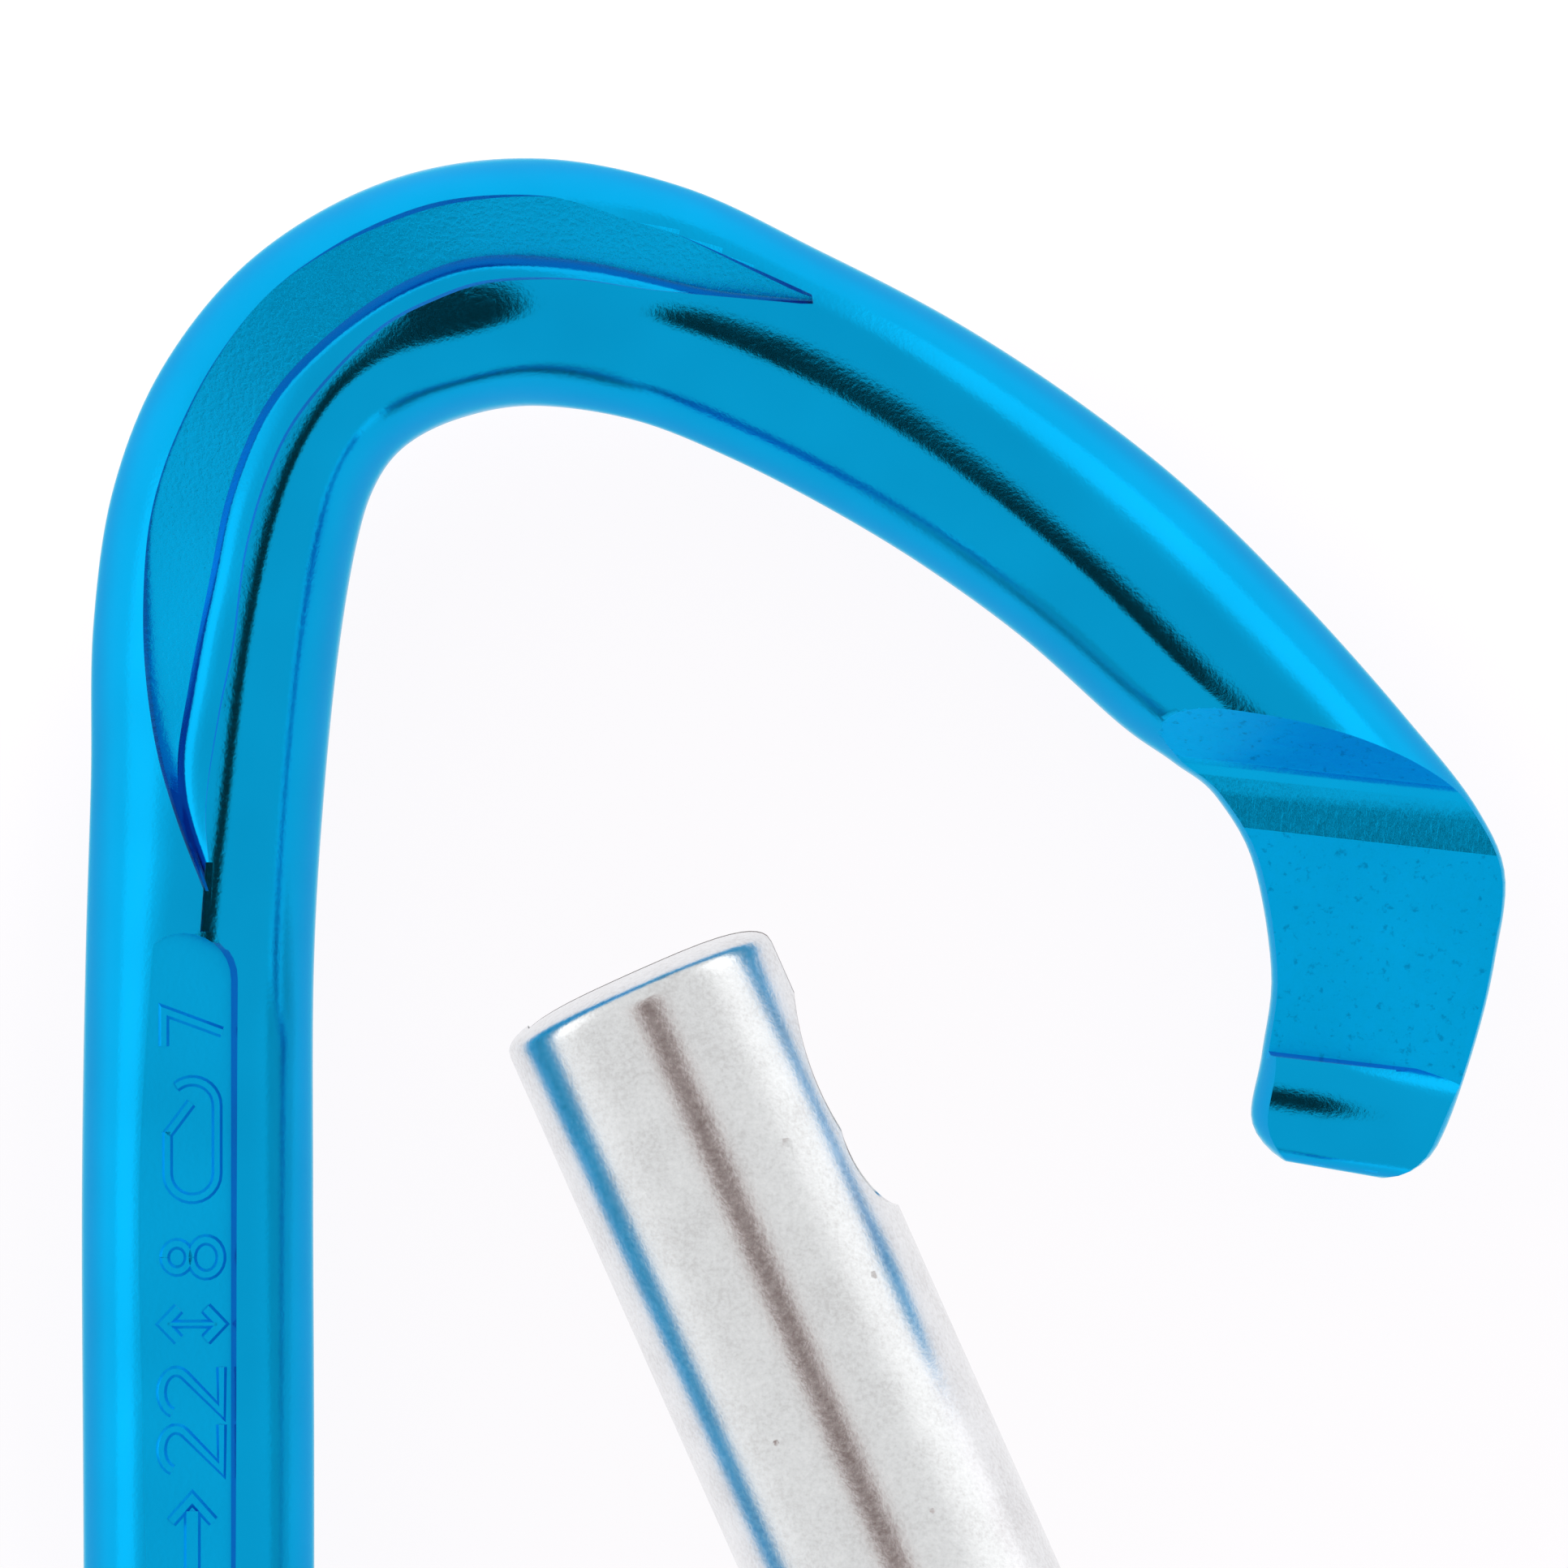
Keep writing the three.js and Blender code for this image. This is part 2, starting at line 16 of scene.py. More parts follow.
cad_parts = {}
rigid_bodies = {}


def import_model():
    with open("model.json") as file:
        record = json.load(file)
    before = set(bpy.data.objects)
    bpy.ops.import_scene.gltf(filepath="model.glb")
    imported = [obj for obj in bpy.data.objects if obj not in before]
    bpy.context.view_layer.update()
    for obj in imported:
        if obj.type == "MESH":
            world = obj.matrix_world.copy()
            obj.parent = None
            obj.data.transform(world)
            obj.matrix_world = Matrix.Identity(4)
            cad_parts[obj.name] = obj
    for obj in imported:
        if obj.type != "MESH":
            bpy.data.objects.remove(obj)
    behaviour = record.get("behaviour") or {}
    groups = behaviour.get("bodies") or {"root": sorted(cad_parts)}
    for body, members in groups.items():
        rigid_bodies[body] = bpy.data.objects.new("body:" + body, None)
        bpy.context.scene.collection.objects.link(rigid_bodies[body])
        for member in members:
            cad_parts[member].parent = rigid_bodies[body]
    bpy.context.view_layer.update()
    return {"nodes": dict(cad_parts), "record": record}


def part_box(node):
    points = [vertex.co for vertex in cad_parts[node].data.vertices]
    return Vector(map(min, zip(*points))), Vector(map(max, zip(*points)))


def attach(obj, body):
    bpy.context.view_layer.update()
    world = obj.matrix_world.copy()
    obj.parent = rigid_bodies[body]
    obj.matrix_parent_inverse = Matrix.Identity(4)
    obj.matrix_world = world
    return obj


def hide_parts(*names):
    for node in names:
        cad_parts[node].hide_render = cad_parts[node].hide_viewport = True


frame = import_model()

MM = 0.001

# ---- sizes in the carabiner's own plan, as in the CAD ----
SLING_CENTRE = 2.5
CLOSED_LEAN = math.radians(10)
OPEN_LEAN = math.radians(-24.05)
PLUNGER_REST = 6.2
PLUNGER_RATIO = 2.5
PLUNGER_RADIUS = 1.8
CAM_GAP = 0.14
GATE_LENGTH = 47.8
GATE_RADIUS = 5.67
GATE_OFFSET = 1.8
NOSE_HALF = 2.9
NOSE_ROUND = 39.1
WEB_HALF = 1.7
RECESS_FLOOR = 3.85
TANG_HALF = 2.25
TAPE_WIDTH = 11.0
TAPE_THICK = 1.7
LOOP_INNER = 5.4
LOOP_NECK = 21.0
NECK_LEAD = 2.0
BEND_DEPTH = 2.8
BEND_FROM = 17.4
BEND_TO = 35.4

JOINTS = {j["name"]: j for j in frame["record"]["behaviour"]["joints"]}
BOLT_ROD = Vector(JOINTS["bolt_carabiner_swing"]["pos_m"])
ROPE_ROD = Vector(JOINTS["rope_carabiner_swing"]["pos_m"])
BOLT_HINGE = Vector(JOINTS["bolt_gate_hinge"]["pos_m"])
ROD_SPAN = (BOLT_ROD.y - ROPE_ROD.y) / MM
SLING_MIDDLE = (BOLT_ROD + ROPE_ROD) / 2
SLING_OFFSET = Vector((SLING_CENTRE * MM, 0, 0))
PIVOT = (BOLT_HINGE - BOLT_ROD + SLING_OFFSET) / MM

TO_BOLT = Matrix.Translation(BOLT_ROD - SLING_OFFSET) @ Matrix.Scale(MM, 4)
TO_ROPE = (
    Matrix.Translation(ROPE_ROD - SLING_OFFSET)
    @ Matrix.Rotation(math.pi, 4, "X")
    @ Matrix.Scale(MM, 4)
)
PLACES = {"bolt": TO_BOLT, "rope": TO_ROPE}

# Outer point, inner point, half thickness, and how far across its crest lies.
BODY_STATIONS = [
    (32.9, 50.4, 30.9, 50.6, 4.8, 0.5),
    (34.1, 50.6, 29.6, 51.0, 5.1, 0.5),
    (35.0, 51.2, 28.7, 51.7, 5.2, 0.5),
    (35.6, 52.2, 28.2, 52.6, 5.3, 0.5),
    (36.9, 56.0, 28.6, 55.3, 5.4, 0.5),
    (37.55, 58.8, 28.95, 58.3, 5.5, 0.52),
    (37.93, 62.2, 28.2, 62.7, 5.3, 0.55),
    (36.9, 64.6, 26.9, 65.0, 5.0, 0.62),
    (34.0, 68.3, 25.2, 66.4, 5.1, 0.61),
    (29.8, 73.0, 23.1, 67.9, 5.3, 0.61),
    (25.6, 77.1, 19.4, 71.2, 5.3, 0.59),
    (21.25, 80.5, 15.6, 73.96, 5.15, 0.56),
    (16.6, 83.5, 11.9, 76.2, 4.95, 0.53),
    (11.6, 86.1, 8.1, 78.15, 4.8, 0.52),
    (6.25, 88.6, 4.4, 79.6, 4.85, 0.56),
    (0.6, 89.68, 0.6, 80.15, 5.7, 0.61),
    (-5.0, 88.84, -2.2, 79.7, 5.8, 0.62),
    (-10.2, 85.9, -4.4, 78.6, 5.7, 0.65),
    (-13.7, 81.7, -5.6, 77.0, 5.65, 0.67),
    (-15.6, 77.1, -6.3, 74.7, 5.6, 0.665),
    (-16.4, 71.8, -6.95, 70.8, 5.5, 0.64),
    (-16.5, 65.8, -7.5, 65.5, 5.4, 0.6),
    (-16.7, 59.0, -7.9, 59.0, 5.3, 0.55),
    (-16.84, 50.0, -7.94, 50.0, 5.3, 0.5),
    (-16.8, 40.0, -7.9, 40.0, 5.2, 0.5),
    (-16.7, 28.0, -7.9, 28.0, 5.0, 0.5),
    (-16.4, 17.0, -7.85, 18.0, 4.7, 0.5),
    (-15.3, 8.3, -7.4, 11.5, 4.3, 0.5),
    (-12.3, 2.0, -6.2, 7.4, 4.0, 0.5),
    (-7.4, -2.6, -4.0, 4.9, 3.9, 0.5),
    (-1.8, -4.1, -0.9, 4.2, 3.85, 0.5),
    (3.4, -4.2, 3.2, 4.15, 3.85, 0.5),
    (9.2, -3.5, 7.6, 4.6, 3.95, 0.5),
    (15.6, -0.9, 11.6, 6.6, 4.4, 0.5),
    (21.6, 3.2, 15.0, 9.3, 4.9, 0.5),
    (27.3, 8.6, 17.4, 12.8, 5.2, 0.5),
]
RECESS_WALL = [
    (-11.95, 61.5), (-13.0, 64.2), (-13.75, 66.7), (-14.2, 69.5), (-14.35, 72.6), (-14.2, 75.5),
    (-13.7, 77.6), (-12.8, 79.8), (-11.6, 82.0), (-9.7, 84.4), (-7.5, 86.0), (-5.0, 87.2),
    (-2.5, 87.95), (1.25, 88.2), (3.75, 87.7), (6.25, 86.7), (8.75, 85.5), (11.25, 84.3),
]
RECESS_FLOOR_EDGE = [
    (-11.8, 61.5), (-12.8, 64.4), (-13.0, 66.4), (-12.6, 69.2), (-11.8, 73.3), (-11.0, 77.0),
    (-9.4, 80.5), (-6.25, 83.6), (-3.5, 85.2), (-1.25, 85.8), (2.5, 85.6), (7.5, 84.5),
    (11.3, 84.1),
]
RIB_CREST = [
    (-11.65, 61.5), (-11.9, 64.5), (-11.4, 68.3), (-10.9, 70.8), (-10.4, 74.5), (-9.6, 77.3),
    (-8.4, 79.7), (-5.3, 83.0), (-3.1, 84.2), (-1.25, 84.8), (2.0, 84.9), (5.0, 84.5),
    (11.3, 83.9),
]


# ---- curves ----
def clamp(value, low=0, high=1):
    return max(low, min(high, value))


def smooth_step(t):
    return t * t * (3 - 2 * t)


def circle_angles(count):
    return np.linspace(0, 2 * math.pi, count, endpoint=False)


def rounded(value, power):
    """A sine or cosine raised to a power with its sign kept, which squares off a circle."""
    return math.copysign(abs(value) ** power, value)


def smooth_path(points, per_span):
    """Centripetal Catmull-Rom through the points; extra columns ride along."""
    p = np.array(points, float)
    p = np.vstack([2 * p[0] - p[1], p, 2 * p[-1] - p[-2]])
    out = []
    for i in range(1, len(p) - 2):
        knots = [0.0]
        for a, b in ((0, 1), (1, 2), (2, 3)):
            gap = np.linalg.norm((p[i - 1 + b] - p[i - 1 + a])[:2])
            knots.append(knots[-1] + max(gap, 1e-6) ** 0.5)
        t0, t1, t2, t3 = knots
        for k in range(per_span):
            t = t1 + (t2 - t1) * k / per_span
            a1 = (t1 - t) / (t1 - t0) * p[i - 1] + (t - t0) / (t1 - t0) * p[i]
            a2 = (t2 - t) / (t2 - t1) * p[i] + (t - t1) / (t2 - t1) * p[i + 1]
            a3 = (t3 - t) / (t3 - t2) * p[i + 1] + (t - t2) / (t3 - t2) * p[i + 2]
            b1 = (t2 - t) / (t2 - t0) * a1 + (t - t0) / (t2 - t0) * a2
            b2 = (t3 - t) / (t3 - t1) * a2 + (t - t1) / (t3 - t1) * a3
            out.append((t2 - t) / (t2 - t1) * b1 + (t - t1) / (t2 - t1) * b2)
    out.append(p[-2])
    return np.array(out)


def even_path(points, count):
    """The same smooth curve with evenly spaced points."""
    fine = smooth_path(points, 24)
    along = np.concatenate([[0], np.cumsum(np.linalg.norm(np.diff(fine[:, :2], axis=0), axis=1))])
    where = np.linspace(0, along[-1], count)
    return np.column_stack([np.interp(where, along, fine[:, k]) for k in range(fine.shape[1])])


# ---- mesh helpers ----
def new_object(name, verts, faces, smooth=True):
    """Object in the scene from vertices and faces, with its normals facing out."""
    mesh = bpy.data.meshes.new(name)
    mesh.from_pydata([tuple(v) for v in verts], [], [tuple(f) for f in faces])
    mesh.update()
    obj = bpy.data.objects.new(name, mesh)
    bpy.context.scene.collection.objects.link(obj)
    fix_normals(mesh)
    if smooth:
        shade(obj)
    return obj


def fix_normals(mesh):
    bm = bmesh.new()
    bm.from_mesh(mesh)
    bmesh.ops.recalc_face_normals(bm, faces=bm.faces)
    bm.to_mesh(mesh)
    bm.free()


def shade(obj, degrees=30):
    obj.data.polygons.foreach_set("use_smooth", [True] * len(obj.data.polygons))
    obj.data.set_sharp_from_angle(angle=math.radians(degrees))
    keep_flats_flat = obj.modifiers.new("flats", "WEIGHTED_NORMAL")
    keep_flats_flat.keep_sharp = True


def tube(rings, closed_loop=False, caps=True):
    """Faces between rings of equal length; returns vertices and faces."""
    rings = np.asarray(rings, float)
    count, sides = rings.shape[:2]
    verts = rings.reshape(-1, 3)
    faces = []
    spans = count if closed_loop else count - 1
    for r in range(spans):
        low, high = r * sides, ((r + 1) % count) * sides
        for i in range(sides):
            j = (i + 1) % sides
            faces.append((low + i, low + j, high + j, high + i))
    if caps and not closed_loop:
        faces.append(tuple(range(sides))[::-1])
        faces.append(tuple(range((count - 1) * sides, count * sides)))
    return verts, faces


def prism(points, z0, z1, top=None):
    top = points if top is None else top
    return tube([[(x, y, z0) for x, y in points], [(x, y, z1) for x, y in top]])


def block(x0, x1, y0, y1, z0, z1):
    return prism([(x0, y0), (x1, y0), (x1, y1), (x0, y1)], z0, z1)


def cylinder(radius, start, end, sides=64):
    """Round bar between two points."""
    start, end = Vector(start), Vector(end)
    axis = (end - start).normalized()
    side = axis.orthogonal().normalized()
    other = axis.cross(side)
    ring = [
        side * (radius * math.cos(a)) + other * (radius * math.sin(a))
        for a in circle_angles(sides)
    ]
    return tube([[start + r for r in ring], [end + r for r in ring]])


def turned(profile, sides=96):
    """Solid of revolution about Y from (radius, y) points; ends lie on the axis."""
    angles = circle_angles(sides)
    rings = [[(r * math.cos(a), y, r * math.sin(a)) for a in angles] for r, y in profile[1:-1]]
    verts, faces = tube(rings, caps=False)
    verts = np.vstack([verts, [[0, profile[0][1], 0], [0, profile[-1][1], 0]]])
    first, last = len(verts) - 2, len(verts) - 1
    end = (len(rings) - 1) * sides
    for i in range(sides):
        j = (i + 1) % sides
        faces.append((first, j, i))
        faces.append((last, end + i, end + j))
    return verts, faces


def moved(shape, matrix):
    verts, faces = shape
    return [tuple(matrix @ Vector(v)) for v in verts], faces


def flipped(shape):
    verts, faces = shape
    return [(x, y, -z) for x, y, z in verts], [f[::-1] for f in faces]


def carve(obj, shape, operation="DIFFERENCE"):
    """Cuts a closed shape out of the object, or joins or keeps it, and applies the result."""
    other = new_object("cutter", *shape, smooth=False)
    modifier = obj.modifiers.new("carve", "BOOLEAN")
    modifier.operation = operation
    modifier.solver = "EXACT"
    modifier.object = other
    depsgraph = bpy.context.evaluated_depsgraph_get()
    result = bpy.data.meshes.new_from_object(obj.evaluated_get(depsgraph))
    obj.modifiers.clear()
    old = obj.data
    obj.data = result
    bpy.data.meshes.remove(old)
    cutter_mesh = other.data
    bpy.data.objects.remove(other)
    bpy.data.meshes.remove(cutter_mesh)


def carve_both(obj, shape):
    carve(obj, shape)
    carve(obj, flipped(shape))


def place(obj, matrix, name, body, nodes=()):
    """Moves a finished piece into the row frame and ties it to its body."""
    obj.data.transform(matrix)
    obj.name = name
    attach(obj, body)
    if nodes:
        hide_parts(*nodes)
    return obj


# ---- materials ----
class Nodes:
    """Short way to write a material's nodes."""

    def __init__(self, name):
        self.material = bpy.data.materials.new(name)
        self.material.use_nodes = True
        self.tree = self.material.node_tree
        self.shader = self.tree.nodes["Principled BSDF"]

    def add(self, kind, inputs=None, **settings):
        node = self.tree.nodes.new(kind)
        for key, value in settings.items():
            setattr(node, key, value)
        for key, value in (inputs or {}).items():
            if isinstance(value, bpy.types.NodeSocket):
                self.tree.links.new(value, node.inputs[key])
            else:
                node.inputs[key].default_value = value
        return node

    def math(self, operation, a, b=0.0):
        return self.add("ShaderNodeMath", {0: a, 1: b}, operation=operation).outputs[0]

    def set(self, **values):
        for key, value in values.items():
            self.shader.inputs[key.replace("_", " ")].default_value = value

    def link(self, socket, name):
        self.tree.links.new(socket, self.shader.inputs[name])

    def noise(self, vector, scale, detail=3.0, roughness=0.5):
        inputs = {"Vector": vector, "Scale": scale, "Detail": detail, "Roughness": roughness}
        return self.add("ShaderNodeTexNoise", inputs).outputs["Fac"]

    def ramp(self, factor, stops):
        node = self.add("ShaderNodeValToRGB", {"Fac": factor})
        while len(node.color_ramp.elements) < len(stops):
            node.color_ramp.elements.new(0.5)
        for element, (position, colour) in zip(node.color_ramp.elements, stops):
            element.position = position
            element.color = (*colour, 1) if len(colour) == 3 else colour
        return node.outputs["Color"]

    def bump(self, height, strength, distance):
        inputs = {"Height": height, "Strength": strength, "Distance": distance}
        return self.add("ShaderNodeBump", inputs).outputs["Normal"]

    def place(self):
        return self.add("ShaderNodeTexCoord").outputs["Object"]

    def scaled(self, vector, scale):
        return self.add("ShaderNodeMapping", {"Vector": vector, "Scale": scale}).outputs["Vector"]

    def spread(self, factor, low, high):
        inputs = {"Value": factor, "To Min": low, "To Max": high}
        return self.add("ShaderNodeMapRange", inputs).outputs["Result"]


BLUE_DEEP = (0.0004, 0.345, 0.67)
BLUE_LIGHT = (0.0008, 0.385, 0.74)
STRIPE_CENTRE = 3.6
STRIPE_HALF = 0.55


def anodised(name, roughness, grain, grain_scale, tone=1.0, streak=None, scratched=False):
    n = Nodes(name)
    where = n.place()
    cloud = n.noise(where, 160.0, 2.0)
    # tone lightens the base colour. Values above 1, given to the recess, web, cut band and panel, are
    # painted light that makes up for the dark patch overhead these faces reflect.
    deep = tuple(c * tone for c in BLUE_DEEP)
    light = tuple(c * tone for c in BLUE_LIGHT)
    base = n.ramp(cloud, [(0.3, deep), (0.75, light)])
    if scratched:
        nicks = n.noise(where, 2400.0, 6.0, 0.75)
        worn = n.ramp(nicks, [(0.35, (0.7, 0.7, 0.74)), (0.43, (1.0, 1.0, 1.0))])
        layers = {0: 1.0, 6: base, 7: worn}
        mixed = n.add("ShaderNodeMix", layers, data_type="RGBA", blend_type="MULTIPLY")
        base = mixed.outputs[2]
    n.link(base, "Base Color")
    fine = n.noise(n.scaled(where, streak) if streak else where, grain_scale, 4.0, 0.6)
    n.link(n.spread(fine, roughness * 0.82, roughness * 1.2), "Roughness")
    n.link(n.bump(fine, grain, 0.00006), "Normal")
    n.set(Metallic=1.0, Specular_Tint=(0.03, 0.62, 0.86, 1))
    n.set(Coat_Weight=0.05, Coat_Roughness=0.16, Coat_IOR=1.4)
    n.set(Sheen_Weight=0.3, Sheen_Roughness=0.3, Sheen_Tint=(0.25, 0.95, 1.0, 1))
    return n.material


def satin_aluminium():
    n = Nodes("satin_aluminium")
    where = n.place()
    speckle = n.noise(where, 5200.0, 4.0, 0.65)
    cloud = n.noise(where, 520.0, 3.0)
    tone = n.math("ADD", n.math("MULTIPLY", speckle, 0.65), n.math("MULTIPLY", cloud, 0.35))
    stops = [(0.3, (0.66, 0.655, 0.655)), (0.5, (0.80, 0.81, 0.815)), (0.72, (0.90, 0.91, 0.915))]
    n.link(n.ramp(tone, stops), "Base Color")
    n.link(n.spread(speckle, 0.18, 0.27), "Roughness")
    n.link(n.bump(speckle, 0.16, 0.00005), "Normal")
    n.set(Metallic=1.0)
    return n.material


def steel():
    n = Nodes("rivet_steel")
    where = n.place()
    rings = n.noise(where, 2500.0, 4.0)
    n.link(n.ramp(rings, [(0.3, (0.50, 0.50, 0.51)), (0.8, (0.68, 0.69, 0.70))]), "Base Color")
    n.link(n.spread(rings, 0.2, 0.34), "Roughness")
    n.link(n.bump(rings, 0.1, 0.00004), "Normal")
    n.set(Metallic=1.0)
    return n.material


def woven(name, dark, light, stripe):
    """Tape woven in fine ribs; its own 'across' and 'along' values are stored on the mesh."""
    n = Nodes(name)
    across = n.add("ShaderNodeAttribute", attribute_name="across").outputs["Fac"]
    along = n.add("ShaderNodeAttribute", attribute_name="along").outputs["Fac"]
    warp = n.math("ABSOLUTE", n.math("SINE", n.math("MULTIPLY", across, math.pi / 0.55)))
    weft = n.math("ABSOLUTE", n.math("SINE", n.math("MULTIPLY", along, math.pi / 0.5)))
    yarn = n.math("MULTIPLY", warp, weft)
    fuzz = n.noise(n.place(), 5200.0, 3.0, 0.7)
    shade_of = n.math("MULTIPLY", n.math("ADD", n.math("MULTIPLY", yarn, 0.6), fuzz), 0.8)
    plain = n.ramp(shade_of, [(0.15, dark), (0.95, light)])
    from_middle = n.math("ABSOLUTE", across)
    from_stripe = n.math("ABSOLUTE", n.math("SUBTRACT", from_middle, STRIPE_CENTRE))
    band = n.math("LESS_THAN", from_stripe, STRIPE_HALF)
    accent = n.ramp(shade_of, [(0.15, tuple(c * 0.45 for c in stripe)), (0.95, stripe)])
    base = n.add("ShaderNodeMix", {0: band, 6: plain, 7: accent}, data_type="RGBA").outputs[2]
    n.link(base, "Base Color")
    n.link(n.spread(fuzz, 0.72, 0.92), "Roughness")
    n.link(n.bump(n.math("ADD", yarn, n.math("MULTIPLY", fuzz, 0.5)), 0.5, 0.00012), "Normal")
    n.set(Sheen_Weight=0.25, Sheen_Roughness=0.5)
    return n.material


def thread_material():
    n = Nodes("stitch_thread")
    twist = n.noise(n.scaled(n.place(), (1.0, 3.0, 1.0)), 4200.0, 3.0)
    n.link(n.ramp(twist, [(0.3, (0.02, 0.20, 0.42)), (0.75, (0.06, 0.42, 0.75))]), "Base Color")
    n.link(n.spread(twist, 0.55, 0.8), "Roughness")
    n.link(n.bump(twist, 0.4, 0.00008), "Normal")
    n.set(Sheen_Weight=0.3)
    return n.material


def rubber_material():
    n = Nodes("keeper_rubber")
    grain = n.noise(n.place(), 3000.0, 4.0)
    n.link(n.ramp(grain, [(0.3, (0.012, 0.012, 0.013)), (0.8, (0.028, 0.028, 0.03))]), "Base Color")
    n.link(n.spread(grain, 0.5, 0.68), "Roughness")
    n.link(n.bump(grain, 0.25, 0.00008), "Normal")
    return n.material


def label_material():
    n = Nodes("label_satin")
    where = n.place()
    weave = n.noise(n.scaled(where, (1.0, 6.0, 1.0)), 3800.0, 2.0)
    n.link(n.ramp(weave, [(0.3, (0.62, 0.63, 0.64)), (0.8, (0.80, 0.81, 0.82))]), "Base Color")
    n.link(n.spread(weave, 0.45, 0.65), "Roughness")
    n.link(n.bump(weave, 0.25, 0.00006), "Normal")
    n.set(Sheen_Weight=0.3)
    return n.material


# ---- carabiner body ----
CUT_TOP = 9.0  # cutters reach this far from the middle plane, clear of the body


def body_rings(rows=430, sides=96):
    """Sections with a narrow crest, steeper on the inner side where the crest lies off centre."""
    stations = even_path(BODY_STATIONS, rows)
    edge_power = 2 / 2.12
    rings = []
    for ox, oy, ix, iy, half, crest in stations:
        flatter_arm = smooth_step(clamp((ox - 4) / 10)) if oy > 60 else 0
        ring = []
        for a in circle_angles(sides):
            c, s = math.cos(a), math.sin(a)
            width = crest if c > 0 else 1 - crest
            flat_spot = 1.15 * math.exp(-((ox + 3.5) / 4.5) ** 2) if oy > 80 else 0
            outer = max(2.35 - 8 * (crest - 0.5), 1.72) + 0.6 * flatter_arm
            pointed = (outer if c > 0 else 1.92) + flat_spot
            share = crest - rounded(c, 2 / pointed) * width
            z = half * rounded(s, edge_power)
            ring.append((ox + (ix - ox) * share, oy + (iy - oy) * share, z))
        rings.append(ring)
    return rings


# From the rib's foot to its crest: how far across, and how far up.
RIB_CLIMB = [
    (1.0, 1.0), (0.86, 0.93), (0.7, 0.85), (0.5, 0.73), (0.32, 0.58), (0.2, 0.43), (0.1, 0.24),
]


def recess_shape():
    """Crescent hollow: low outer wall, slightly twisted floor, and a rounded rib on the inside."""
    rows = 110
    wall = even_path(RECESS_WALL, rows)
    floor_edge = even_path(RECESS_FLOOR_EDGE, rows)
    crest = even_path(RIB_CREST, rows)
    rings = []
    for k, (w, f, c) in enumerate(zip(wall, floor_edge, crest)):
        along = k / (rows - 1)
        twist = 0.34 * clamp((0.56 - along) * 3, -1) * min(1, along * 4, (1 - along) * 4)
        shallower = 0.75 * max(0, 1 - along / 0.22) ** 1.5
        thinner = smooth_step(clamp((along - 0.7) / 0.2))
        level = RECESS_FLOOR + shallower - 0.2 * thinner
        low, high = level - twist, level + twist
        crest_z = 5.2 - 0.75 * thinner
        gap = max(np.linalg.norm(f - w), 0.01)
        inset = w + (f - w) * min(0.16 / gap, 0.4)
        ring = [(*inset, low), (*w, low + 0.5), (*w, CUT_TOP), (*(c + (c - f) * 0.9), CUT_TOP)]
        for t, rise in RIB_CLIMB:
            ring.append((*(f + (c - f) * t), high + (crest_z - high) * rise))
        ring.append((*f, high))
        rings.append(ring)
    return tube(rings)


def panel_level(x):
    """Height of the marking panel, which dips a little towards the gate side."""
    return 4.82 - (x + 14.15) * 0.16


def panel_shape():
    """Long shallow panel for the load marks, with a round top."""
    left, right, low, high = -14.5, -10.95, 21.5, 59.9
    corner = 1.1
    points = [(left, low + corner), (left + corner, low), (right - corner, low), (right, low + corner)]
    middle, reach = (left + right) / 2, (right - left) / 2
    for a in np.linspace(0, math.pi, 15):
        points.append((middle + reach * math.cos(a), high - reach + reach * math.sin(a)))
    floor = [(x, y, panel_level(x)) for x, y in points]
    mouth = [(x + 1.9 * clamp((x + 12) * 2), y, CUT_TOP) for x, y in points]
    return tube([floor, mouth])


def groove_shape():
    """Short groove between the recess tip and the marking panel."""
    return prism([(-12.1, 59.95), (-11.75, 59.95), (-11.6, 62.6), (-11.9, 62.6)], 4.7, CUT_TOP)


# Distance past the web's far end, and height above the web.
WEB_CLIMB = [
    (0, 0), (1.2, 0.03), (1.9, 0.09), (2.2, 0.2), (2.45, 0.45), (2.75, 0.85), (3.3, 1.65),
    (3.9, 2.6), (4.5, 3.6), (6.7, 7.3),
]
CUT_BAND = 2.5


def web_start(x):
    """Where the web's far side starts to climb."""
    return 64.4 - (x - 23.5) * 1.9 / 17


def web_shape():
    """Flat hollow over the nose's web; its far side curves up like the track of a round cutter."""
    rings = []
    for x, end in ((23.5, 55.95), (40.5, 53.95)):
        ring = [(x, web_start(x) + d, WEB_HALF + rise) for d, rise in WEB_CLIMB]
        ring += [(x, end - 0.5, CUT_TOP), (x, end - 0.14, WEB_HALF + 0.35), (x, end, WEB_HALF)]
        rings.append(ring)
    return tube(rings)


def in_gate_frame(lean):
    return Matrix.Translation(PIVOT) @ Matrix.Rotation(-lean, 4, "Z")


def nose_bar(sides=96):
    """Barrel-shaped cross bar at the end of the nose, fuller towards the gate's axis."""
    rings = []
    for x in np.linspace(-11, 9, 41):
        fullness = 1 - 0.0075 * max(x + 2, 0) ** 2
        ring = []
        for a in circle_angles(sides):
            y = NOSE_ROUND - 0.62 + 2.36 * math.cos(a)
            flatness = 0.42 if x < -1 else min(0.42 + 0.07 * (x + 1), 0.8)
            rise = rounded(math.sin(a), flatness)
            ring.append((x, y, NOSE_HALF * max(fullness, 0.2) * rise))
        rings.append(ring)
    return tube(rings)


